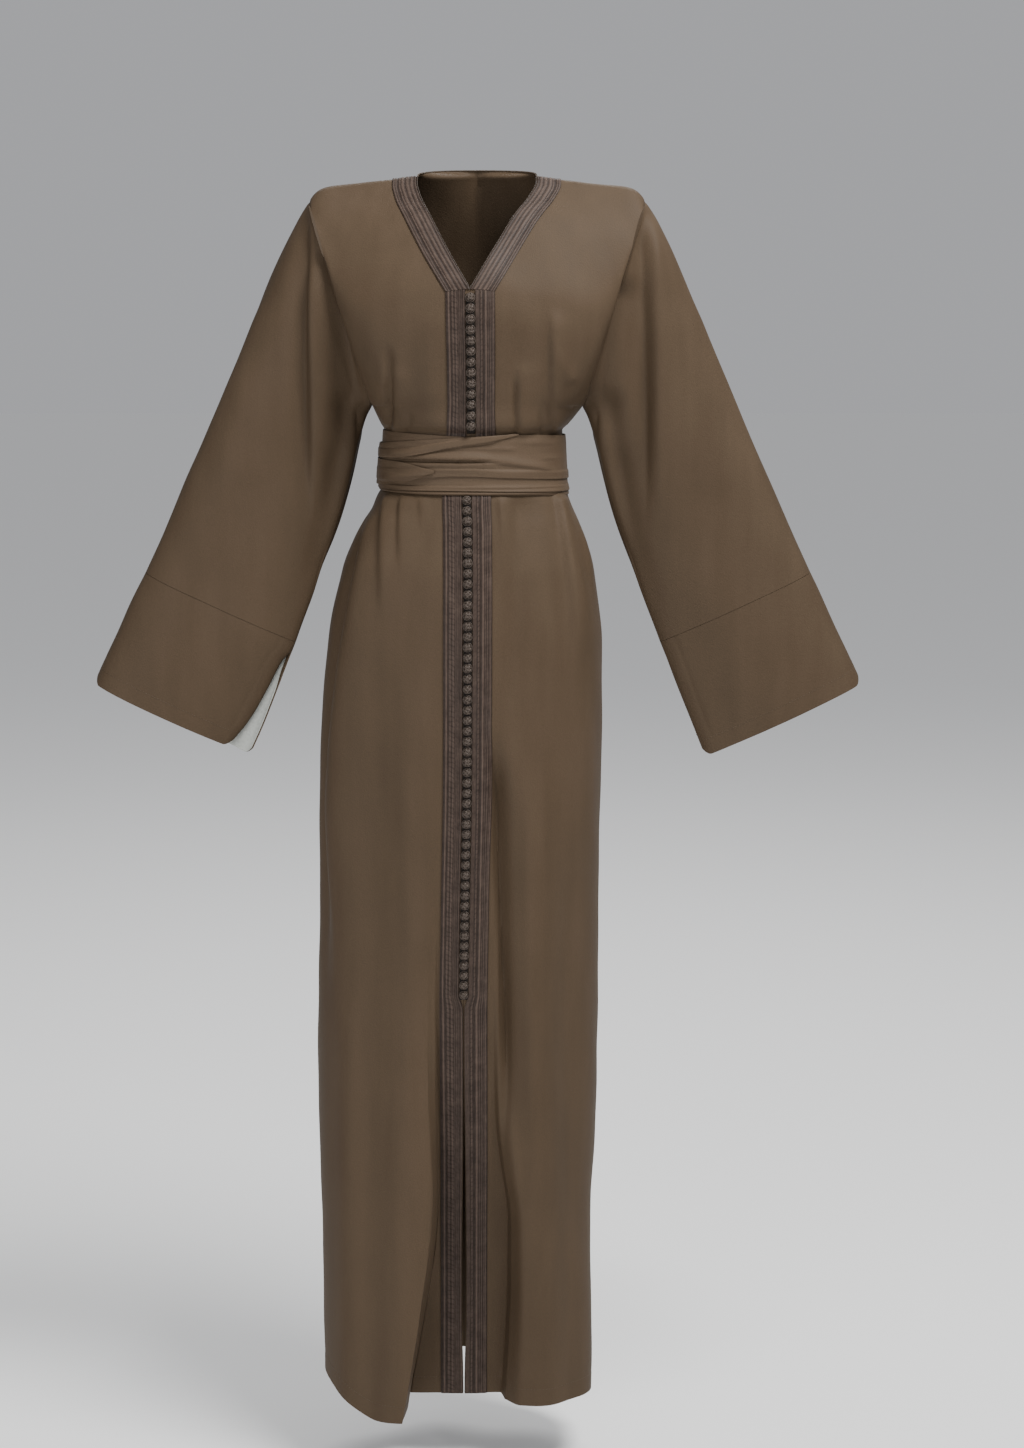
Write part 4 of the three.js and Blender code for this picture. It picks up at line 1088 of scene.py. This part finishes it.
SASH_PLEATS = table(
    "name turn1 down1 turn2 down2 upper lower height",
    # the lip above the deep pleat, then the lip below it
    ("sash_main", -66, 320.4, 14, 321.6, 7.0, 0.9, 4.6),
    ("sash_main", -8, 318.6, 62, 336.5, 6.0, 2.6, 2.4),
    ("sash_main", -60, 326.4, 22, 327.2, 1.0, 6.5, 3.2),
    ("sash_main", -10, 309, 30, 311, 3.0, 2.0, 0.9), ("sash_main", 20, 303, 110, 309, 5.0, 2.4, 0.7),
    ("sash_main", 34, 322, 120, 322, 3.0, 2.0, 0.7), ("sash_main", 20, 335, 110, 336, 3.0, 2.0, 0.8),
    ("sash_main", 96, 306, 190, 310, 4.0, 2.0, 1.8), ("sash_main", 110, 330, 200, 336, 3.0, 2.0, 1.5),
    ("sash_main", 140, 318, 200, 324, 3.0, 1.8, 1.6), ("sash_main", -190, 312, -120, 322, 4.0, 2.0, 1.6),
    ("sash_main", -150, 334, -80, 338, 3.0, 2.0, 1.2),
    ("sash_upper", -80, 300, -20, 300, 2.2, 2.2, 0.6),
    ("sash_cross", -100, 313, -30, 306, 3.0, 2.0, 0.7), ("sash_cross", -200, 305, -140, 311, 2.2, 2.2, 1.0),
    ("sash_tuck", -140, 338, -46, 333, 3.4, 2.4, 0.8), ("sash_tuck", -80, 349, -14, 337, 4.5, 2.0, 1.7),
    ("sash_lower", -150, 344, -20, 346, 2.4, 2.4, 0.7),
    ("sash_lower", -10, 352, 80, 354, 2.2, 2.2, 0.8), ("sash_lower", 90, 350, 180, 351, 2.4, 2.4, 1.0),
    ("sash_edge", -300, 359, 300, 361, 2.2, 2.0, 1.7))
TURN_STEP, DOWN_STEP = 1.5, 0.5
SASH_ROWS = 41
SASH_BASE = CLOTH / 2 + BRAID + EASE  # room under the first turn
REACH = 3  # cells of the map that an edge bridges
PUFF = 0.35  # how far a turn bellies out between its edges
PLEAT_FADE, PLEAT_FADE_SIDES = 0.9, (0.8, 0.97)  # pleats are pulled flat round the sides
TIGHT, TIGHT_SIDES = 0.6, (0.75, 0.97)  # and the turns lie straight up and down there
map_downs = np.arange(286, 372, DOWN_STEP)
map_size = round(360 / TURN_STEP)


WAIST = curves(table(
    "down right left side edge front back",
    (282, 104.5, 94.5, 0, -6.1, 89, 77), (290, 105, 95.5, 0, -6.3, 89, 77),
    (330, 107, 97.5, 0, -9.0, 90, 78), (356, 109, 99.5, 0, -11.0, 91, 79),
    (364, 111.5, 101.5, 0, -11.0, 93, 81), (375, 113, 103, 0, -11.0, 94, 82)), "down")


def waist_point(turn, down):
    """A point of the plain waist; turn is the angle from the middle front towards the left."""
    at = {name: curve(down) for name, curve in WAIST.items()}
    sine, front = np.sin(np.radians(turn)), np.cos(np.radians(turn)) >= 0
    outer = stack(np.where(sine < 0, -at["right"], at["left"]), at["side"], -down)
    middle = np.where(front, at["edge"], (at["left"] - at["right"]) / 2)
    inner = stack(middle, np.where(front, -at["front"], at["back"]), -down)
    roundness = np.where(front, FRONT_ROUND, BACK_ROUND)
    return quarter(inner, outer, np.abs(sine) ** (2 / roundness), roundness)


def highest_nearby(heights):
    """The map with each cell raised to the highest one in reach, then softened."""
    wide = heights
    for shift in range(-REACH, REACH + 1):
        wide = np.maximum(wide, np.roll(heights, shift, axis=1))
    round_waist = np.maximum(np.maximum(np.roll(wide, 1, axis=0), np.roll(wide, -1, axis=0)), wide)
    soft = (np.roll(round_waist, 1, axis=1) + np.roll(round_waist, -1, axis=1) + round_waist) / 3
    return (np.roll(soft, 1, axis=0) + np.roll(soft, -1, axis=0) + 2 * soft) / 4


def to_side(turn, low, high):
    """0 in front and behind, 1 at the sides of the waist."""
    return smooth(np.abs(np.sin(np.radians(turn))), low, high)


def pleats_on(name, turn, down, share):
    puff = PUFF * (1 - np.abs(2 * share - 1) ** 6)
    inner = smooth(share * (1 - share), 0, 0.12)
    for row in [row for row in SASH_PLEATS if row["name"] == name]:
        along = (turn - row["turn1"]) / (row["turn2"] - row["turn1"])
        away = down - mix(row["down1"], row["down2"], along)
        away = away / np.where(away < 0, row["upper"], row["lower"])
        ends = smooth(along, 0, 0.25) * (1 - smooth(along, 0.75, 1))
        ends = ends * (1 - PLEAT_FADE * to_side(turn, *PLEAT_FADE_SIDES))
        puff = puff + row["height"] * ends * np.exp(-away ** 2) * inner
    return puff


def lay_turn(name, rows, laid):
    """One turn of the sash on the map of what is laid; returns its sheet and the new map."""
    edge = curves(rows, "turn")
    first, last = rows[0]["turn"], rows[-1]["turn"]
    closed = last - first == 360
    turn = np.linspace(first, last, round((last - first) / TURN_STEP) + 1)
    turn = (turn[:-1] if closed else turn)[None]
    share = np.linspace(0, 1, SASH_ROWS)[:, None]
    down = mix(edge["top"](turn), edge["low"](turn), share)
    column = np.round((turn[0] + 180) / TURN_STEP).astype(int) % map_size
    under = highest_nearby(laid)[column]
    rest = np.stack([np.interp(down[:, i], map_downs, under[i]) for i in range(len(column))], axis=1)
    rest = mix(rest, rest.max(axis=0), TIGHT * to_side(turn, *TIGHT_SIDES))
    height = rest + GAP + SASH_CLOTH / 2 + pleats_on(name, turn, down, share)
    ahead = waist_point(turn + 2, down) - waist_point(turn - 2, down)
    outward = unit(stack(ahead[..., 1], -ahead[..., 0], 0))
    sheet = Sheet(waist_point(turn, down) + outward * (SASH_BASE + height)[..., None], closed)
    add_normals(sheet)
    laid = laid.copy()
    for i, place in enumerate(column):
        inside = (map_downs >= down[0, i]) & (map_downs <= down[-1, i])
        top = np.interp(map_downs, down[:, i], height[:, i]) + SASH_CLOTH / 2
        laid[place] = np.where(inside, np.maximum(laid[place], top), laid[place])
    return sheet, laid


laid = np.zeros((map_size, len(map_downs)))
sash = {}
for name, rows in SASH.items():
    sheet, laid = lay_turn(name, rows, laid)
    made = wall(name + "_turn", sheet, SASH_CLOTH, pull=0)
    sash[name] = sheet
    pieces[name] = finished(made, sash_crepe, "sash", name)
print("sash stands", round(float(laid.max()), 1), "mm above the dress at its thickest")

# %% [markdown]
# ## Facing of the cuff
# The open edge of one cuff shows a pale facing inside. It is a patch of the cuff's own grid, moved
# inwards. High in the opening it stops short of the edge, where the cuff's own cloth is turned in;
# lower down it reaches the edge.

# %% Facing
FACING = 1.0
FACING_MARGIN = 5.5
FACING_TURNS = round(3 * YOKE_STEPS)  # columns from the open edge, as far as the cuff's first third
FACING_TOP, MARGIN_ENDS = 0.05, (0.25, 0.52)  # parts of the cuff's length
whole = cloth["cuff_right"]
first_row = np.searchsorted(cuff_rows, FACING_TOP)
patch = Sheet(whole.points[first_row:, :FACING_TURNS + 1])
run = from_edge(patch, "first")
margin = FACING_MARGIN * (1 - smooth(cuff_rows[first_row:], *MARGIN_ENDS))
places = mix(margin[:, None], run[:, -1:], run[:1] / run[:1, -1:])


def set_back(values):
    """Values of the patch, taken along each row from its margin on."""
    return np.stack([read_off(*row) for row in zip(places, run, values)])


facing_sheet = Sheet(set_back(patch.points))
facing_sheet.normals = unit(set_back(whole.normals[first_row:, :FACING_TURNS + 1]))
facing_wall = wall("cuff_facing_right_patch", facing_sheet, FACING, lift=-(CLOTH + FACING) / 2 - GAP)
pieces["cuff_facing_right"] = finished(facing_wall, lining, "facing", "cuff_facing_right")
print("facing", facing_sheet.points.shape)

# %% [markdown]
# ## Rows of small forms
# Buttons, the cord round the neck and every line of stitches are the same thing: one small form set
# again and again along a line on the cloth. One node group does it. It takes a line, spreads points
# evenly along it, turns each form with the line and with the cloth, and adds a little chance so that
# no two are quite alike. The result is kept as a plain mesh.

# %% A group that repeats a form along a line
GROUP_INPUTS = table(
    "name kind", ("Line", "NodeSocketGeometry"), ("Form", "NodeSocketObject"), ("Count", "NodeSocketInt"),
    ("Turn", "NodeSocketFloat"), ("Smallest", "NodeSocketFloat"), ("Seed", "NodeSocketInt"),
    ("Finish", "NodeSocketMaterial"))


def row_group():
    tree = bpy.data.node_groups.new("row of forms", "GeometryNodeTree")
    for row in GROUP_INPUTS:
        tree.interface.new_socket(row["name"], in_out="INPUT", socket_type=row["kind"])
    tree.interface.new_socket("Forms", in_out="OUTPUT", socket_type="NodeSocketGeometry")
    given = tree.nodes.new("NodeGroupInput").outputs
    curve = add_node(tree, "GeometryNodeMeshToCurve", None, {0: given["Line"]})
    even = add_node(
        tree, "GeometryNodeResampleCurve", {"mode": "COUNT"}, {"Curve": curve[0], "Count": given["Count"]})
    tangent = add_node(tree, "GeometryNodeInputTangent")
    outward = add_node(
        tree, "GeometryNodeInputNamedAttribute", {"data_type": "FLOAT_VECTOR"}, {"Name": "outward"})
    axes = {"primary_axis": "Z", "secondary_axis": "X"}
    facing = add_node(tree, "FunctionNodeAxesToRotation", axes, {0: outward[0], 1: tangent[0]})
    back = add_node(tree, "ShaderNodeMath", {"operation": "MULTIPLY"}, {0: given["Turn"], 1: -1.0})
    chance = add_node(
        tree, "FunctionNodeRandomValue", {"data_type": "FLOAT"},
        {2: back[0], 3: given["Turn"], "Seed": given["Seed"]})
    angles = add_node(tree, "ShaderNodeCombineXYZ", None, {"Z": chance[1]})
    spin = add_node(tree, "FunctionNodeEulerToRotation", None, {0: angles[0]})
    turned = add_node(
        tree, "FunctionNodeRotateRotation", {"rotation_space": "LOCAL"}, {0: facing[0], 1: spin[0]})
    size = add_node(
        tree, "FunctionNodeRandomValue", {"data_type": "FLOAT"},
        {2: given["Smallest"], 3: 1.0, "Seed": given["Seed"]})
    form = add_node(tree, "GeometryNodeObjectInfo", None, {"Object": given["Form"]})
    placed = add_node(
        tree, "GeometryNodeInstanceOnPoints", None,
        {"Points": even[0], "Instance": form["Geometry"], "Rotation": turned[0], "Scale": size[1]})
    real = add_node(tree, "GeometryNodeRealizeInstances", None, {0: placed[0]})
    finish = add_node(
        tree, "GeometryNodeSetMaterial", None, {"Geometry": real[0], "Material": given["Finish"]})
    tree.links.new(finish[0], tree.nodes.new("NodeGroupOutput").inputs[0])
    return tree


ROW_OF_FORMS = row_group()


def repeat(name, line, outward, form, count, finish, turn=0.0, smallest=1.0, seed=1):
    """A form repeated along a line, as one plain object."""
    mesh = bpy.data.meshes.new(name)
    mesh.from_pydata((line * MM).tolist(), [(i, i + 1) for i in range(len(line) - 1)], [])
    layer = mesh.attributes.new("outward", "FLOAT_VECTOR", "POINT")
    layer.data.foreach_set("vector", outward.astype(np.float32).ravel())
    made = in_scene(name, mesh)
    modifier = made.modifiers.new("row", "NODES")
    modifier.node_group = ROW_OF_FORMS
    values = {
        "Form": form, "Count": count, "Turn": turn, "Smallest": smallest, "Seed": seed, "Finish": finish}
    for item in ROW_OF_FORMS.interface.items_tree:
        if item.name in values:
            modifier[item.identifier] = values[item.name]
    graph = bpy.context.evaluated_depsgraph_get()
    made.data = bpy.data.meshes.new_from_object(made.evaluated_get(graph), depsgraph=graph)
    made.modifiers.clear()
    return made


def joined(name, *objects):
    """Several plain objects as one."""
    with bpy.context.temp_override(active_object=objects[0], selected_editable_objects=list(objects)):
        bpy.ops.object.join()
    objects[0].name = name
    return objects[0]


print("group with", len(ROW_OF_FORMS.nodes), "nodes")

# %% [markdown]
# ## Knotted buttons
# A button is a ball knot: one strand that runs over and under itself round a core, seated in a ring
# of thinner cord. The strand is swept along a curve that goes round the ball three times while it
# swings up and down four times, so that it closes on itself. Modelling one and repeating it is
# lighter than a sculpted row, and the strands are real enough to cast their own small shadows.

# %% Small forms
KNOT = {"pitch": 11.8, "radius": 4.4, "height": 3.4, "strip": 9.4, "strip_wall": 0.8}
STRAND = 1.05
ROUNDS, SWINGS, SWING_ANGLE = 3, 4, 1.12
OVER_UNDER = 0.11  # how far the strand moves in and out, as a part of the knot's size
RING = {"radius": 5.0, "below": 1.9, "strand": 0.75}
TWIST_LEAN = 34


def strand(path, radius, sides=6):
    """A closed round strand along a closed path about the origin."""
    tangent = unit(np.roll(path, -1, axis=0) - np.roll(path, 1, axis=0))
    out = unit(path - tangent * (path * tangent).sum(axis=1, keepdims=True))
    across = np.cross(tangent, out)
    angle = np.arange(sides) * 2 * np.pi / sides
    ring = out[:, None] * np.cos(angle)[None, :, None] + across[:, None] * np.sin(angle)[None, :, None]
    points = (path[:, None] + radius * ring).reshape(-1, 3)
    at = np.arange(len(points)).reshape(len(path), sides)
    beside, ahead = np.roll(at, -1, axis=1), np.roll(at, -1, axis=0)
    faces = np.stack([at, ahead, np.roll(ahead, -1, axis=1), beside], axis=-1).reshape(-1, 4)
    return points, faces[:, ::-1]


def ball(size, rings, around):
    """A closed ball, drawn as rings between two end points."""
    level = np.linspace(0, np.pi, rings + 1)[1:-1]
    turn = np.arange(around) * 2 * np.pi / around
    ring = stack(
        np.sin(level)[:, None] * np.cos(turn), np.sin(level)[:, None] * np.sin(turn), np.cos(level)[:, None])
    points = np.concatenate([[[0, 0, 1]], ring.reshape(-1, 3), [[0, 0, -1]]]) * np.array(size)
    at = 1 + np.arange((rings - 1) * around).reshape(rings - 1, around)
    beside = np.roll(at, -1, axis=1)
    faces = np.stack([at[:-1], at[1:], beside[1:], beside[:-1]], axis=-1).reshape(-1, 4).tolist()
    faces += [[0, a, b] for a, b in zip(at[0], beside[0])]
    faces += [[len(points) - 1, b, a] for a, b in zip(at[-1], beside[-1])]
    return points, faces


def form(name, *parts):
    """A small form from several closed shells."""
    points, faces = [], []
    for part_points, part_faces in parts:
        start = sum(len(p) for p in points)
        points.append(part_points)
        faces += [[int(i) + start for i in face] for face in part_faces]
    return new_object(name, np.concatenate(points), faces)


def knot_form():
    t = np.linspace(0, 2 * np.pi * ROUNDS, 91)[:-1]
    swing = SWING_ANGLE * np.sin(SWINGS * t / ROUNDS)
    out = 1 + OVER_UNDER * np.cos(2 * SWINGS * t / ROUNDS + 0.6)
    radius, height = KNOT["radius"] - STRAND, KNOT["height"] - STRAND
    path = stack(
        radius * out * np.cos(swing) * np.cos(t), radius * out * np.cos(swing) * np.sin(t),
        height * out * np.sin(swing))
    turn = np.linspace(0, 2 * np.pi, 25)[:-1]
    ring = stack(RING["radius"] * np.cos(turn), RING["radius"] * np.sin(turn), -RING["below"])
    return form(
        "knot", strand(path, STRAND), ball((radius, radius, height), 6, 10), strand(ring, RING["strand"]))


knot = knot_form()
twist_points, twist_faces = ball((1.35, 0.62, 0.62), 5, 6)
sine, cosine = math.sin(math.radians(TWIST_LEAN)), math.cos(math.radians(TWIST_LEAN))
twist_turn = np.array([[cosine, sine, 0], [-sine, cosine, 0], [0, 0, 1]])
twist = form("twist", (twist_points @ twist_turn, twist_faces))
stitch = form("stitch", ball((1.25, 0.28, 0.24), 4, 5))
print("forms:", [len(made.data.polygons) for made in (knot, twist, stitch)])


# %% Buttons
def edge_line(from_down, to_down, step):
    """Points and outward directions along the left front's edge, at even heights."""
    points, normals = cloth["front_left"].points[:, 0], cloth["front_left"].normals[:, 0]
    downs = steps((from_down, to_down, max(1, round((to_down - from_down) / step))))
    out = read_off(downs, -points[:, 2], normals)
    out[:, 0] = 0
    return read_off(downs, -points[:, 2], points), unit(out)


KNOT_ROWS = table("name first last seed", ("knots_upper", 142, 288, 3), ("knots_lower", 368, 936, 8))
KNOT_SEAT = 0.72  # how far a knot's middle stands off its strip, as a part of its height
STRIP_LIFT = CLOTH / 2 + GAP + KNOT["strip_wall"] / 2
STRIP_SHARES = (-0.5, -0.2, 0.2, 0.5)
for row in KNOT_ROWS:
    count = int((row["last"] - row["first"]) / KNOT["pitch"]) + 1
    last = row["first"] + (count - 1) * KNOT["pitch"]
    line, out = edge_line(row["first"], last, 2.0)
    centre = STRIP_LIFT + KNOT["strip_wall"] / 2 + KNOT_SEAT * KNOT["height"]
    knots = repeat(
        "knots", line + out * centre, out, knot, count, cord, turn=0.5, smallest=0.93, seed=row["seed"])
    line, out = edge_line(row["first"] - KNOT["radius"], row["last"] + KNOT["radius"], 5.0)
    strip = Sheet(np.stack([line + [share * KNOT["strip"], 0, 0] for share in STRIP_SHARES], axis=1))
    strip.normals = np.repeat(out[:, None], len(STRIP_SHARES), axis=1)
    under = wall("strip", strip, KNOT["strip_wall"], pull=0, lift=STRIP_LIFT)
    # the strip is real, its near-black finish is painted shade between the knots
    under.data.materials.append(strip_painted_shade)
    name = row["name"]
    pieces[name] = finished(joined(name + "_row", knots, under), cord, "cord", name)
    print(name, count, "knots,", len(pieces[name].data.polygons), "faces")

# %% [markdown]
# ## Cord round the neck and stitches
# The neck is edged with a twisted cord and the hems are held by a line of small stitches. Both use
# the row of forms again. The cord is one slanting bead, set so closely that it reads as twisted; a
# bump would be enough in the middle of the cloth, but not on an edge that stands against the light.

# %% Cord round the neck and stitches
CORD_ASIDE, CORD_UP, TWIST_PITCH = 0.95, 0.9, 1.75
STITCH_PITCH, STITCH_UP = 3.6, 0.12
STITCH_ROW = -4  # the stitches run along the fourth row from the edge


def neck_line(side):
    front = cloth["front_" + WORD[side]]
    column, beside = (0, 1) if side == LEFT else (-1, -2)
    rows = slice(0, V_POINT + 1)
    points, normals = front.points[rows, column], front.normals[rows, column]
    into_neck = unit(points - front.points[rows, beside])
    return points + into_neck * CORD_ASIDE + normals * CORD_UP, normals


def line_length(line):
    return np.linalg.norm(np.diff(line, axis=0), axis=1).sum()


left_line, left_out = neck_line(LEFT)
right_line, right_out = neck_line(RIGHT)
line = np.concatenate([right_line[:-1], left_line[::-1]])
out = np.concatenate([right_out[:-1], left_out[::-1]])
neck_cord = repeat("neck_cord", line, out, twist, round(line_length(line) / TWIST_PITCH), cord, smallest=0.95)
pieces["neck_cord"] = finished(neck_cord, cord, "cord")
stitched = []
for name in ("front_right", "front_left", "back", "cuff_right", "cuff_left"):
    out = cloth[name].normals[STITCH_ROW]
    line = cloth[name].points[STITCH_ROW] + out * (CLOTH / 2 + STITCH_UP)
    count = round(line_length(line) / STITCH_PITCH)
    stitched.append(repeat("stitches", line, out, stitch, count, thread, turn=0.06, smallest=0.85, seed=5))
pieces["stitches"] = finished(joined("stitches", *stitched), thread, "crepe")
for small in (knot, twist, stitch):
    bpy.data.objects.remove(small)
print("stitches:", len(pieces["stitches"].data.polygons), "faces")

# %% [markdown]
# ## What each cloth is cut from
# Each cloth is listed with how large it is when laid flat, how it is held and what it rests on,
# and the spans and area measured from its sheet are printed beside it.

# %% Cloth sizes
def spans(sheet):
    """The widest row and the longest column, in metres."""
    across = np.linalg.norm(sheet.next(sheet.points) - sheet.this(sheet.points), axis=-1).sum(axis=1).max()
    along = np.linalg.norm(np.diff(sheet.points, axis=0), axis=-1).sum(axis=0).max()
    return round(across * MM, 3), round(along * MM, 3)


CUTS = table(
    "name width length area held under",
    ("back", 0.485, 1.505, 0.634, "hung", ()), ("front_right", 0.33, 1.505, 0.342, "hung", ("back",)),
    ("front_left", 0.235, 1.505, 0.302, "hung", ("back",)),
    ("sleeve_right", 0.58, 0.47, 0.162, "hung", ("front_right", "back")),
    ("sleeve_left", 0.58, 0.47, 0.162, "hung", ("front_left", "back")),
    ("cuff_right", 0.425, 0.15, 0.061, "hung", ("sleeve_right",)),
    ("cuff_left", 0.44, 0.15, 0.062, "hung", ("sleeve_left",)),
    ("braid_neck_right", 0.029, 0.175, 0.0047, "laid", ("front_right",)),
    ("braid_neck_left", 0.029, 0.18, 0.0047, "laid", ("front_left",)),
    ("braid_front_right", 0.028, 1.33, 0.032, "laid", ("front_right",)),
    ("braid_front_left", 0.028, 1.33, 0.032, "laid", ("front_left",)),
    ("sash_edge", 0.645, 0.013, 0.0068, "stretched", ("front_right", "front_left", "back")),
    ("sash_lower", 0.645, 0.025, 0.0145, "gathered", ("sash_edge", "front_left", "back")),
    ("sash_main", 0.645, 0.055, 0.0285, "gathered", ("sash_lower", "front_left", "back")),
    ("sash_upper", 0.24, 0.03, 0.0049, "gathered", ("front_right", "front_left")),
    ("sash_cross", 0.46, 0.022, 0.0064, "gathered", ("sash_main", "sash_upper")),
    ("sash_tuck", 0.25, 0.034, 0.0055, "gathered", ("sash_main", "sash_lower")),
    ("cuff_facing_right", 0.058, 0.133, 0.0068, "laid", ("cuff_right",)))
sheets = cloth | bands | sash | {"cuff_facing_right": facing_sheet}
for cut in CUTS:
    below = [pieces[name] for name in cut["under"]]
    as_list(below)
    print(cut["name"], spans(sheets[cut["name"]]), round(sheets[cut["name"]].area(), 4), "m2")

# %% [markdown]
# ## Floor and light
# A plain pale floor lies well below the hem. A large soft light stands high in front, to the gown's
# left. A weaker one stands low in front and to its right, and one behind keeps the back from going
# black.

# %% Floor and light
FLOOR_Z, FLOOR_HALF = -1.53, 30
FLOOR_GLOW = 0.09
ROOM_LIGHT = 0.44
AIM = (0, 0, -0.6)


def pale_floor():
    graph = Graph("floor", roughness=0.95, specular_ior_level=0.1)
    graph.shader.inputs["Base Color"].default_value = colour(0.8, 0.8, 0.79)
    graph.shader.inputs["Emission Color"].default_value = colour(0.95, 0.96, 1.0)
    graph.shader.inputs["Emission Strength"].default_value = FLOOR_GLOW
    mesh = bpy.data.meshes.new("floor")
    corners = [(-1, -1, 0), (1, -1, 0), (1, 1, 0), (-1, 1, 0)]
    mesh.from_pydata((np.array(corners) * FLOOR_HALF).tolist(), [], [(0, 1, 2, 3)])
    mesh.materials.append(graph.material)
    floor = in_scene("floor", mesh)
    floor.location.z = FLOOR_Z


def soft_light(name, place, size, power):
    data = bpy.data.lights.new(name, "AREA")
    data.shape, data.size, data.energy = "DISK", size, power
    light = in_scene(name, data)
    light.location = place
    aim = np.array(AIM) - np.array(place)
    light.rotation_euler = (math.atan2(math.hypot(aim[0], aim[1]), -aim[2]), 0, math.atan2(-aim[0], aim[1]))


LIGHTS = table(
    "name place size power", ("key", (1.2, -1.25, 2.2), 1.4, 188), ("fill", (-1.5, -3.1, -0.8), 2.0, 60),
    ("back", (0.3, 2.6, 2.4), 2.0, 80))
pale_floor()
for light in LIGHTS:
    soft_light(**light)
world = bpy.data.worlds.new("pale room")
world.use_nodes = True
world.node_tree.nodes["Background"].inputs["Color"].default_value = colour(0.95, 0.96, 1.0)
world.node_tree.nodes["Background"].inputs["Strength"].default_value = ROOM_LIGHT
bpy.context.scene.world = world
print(len(LIGHTS), "lights")
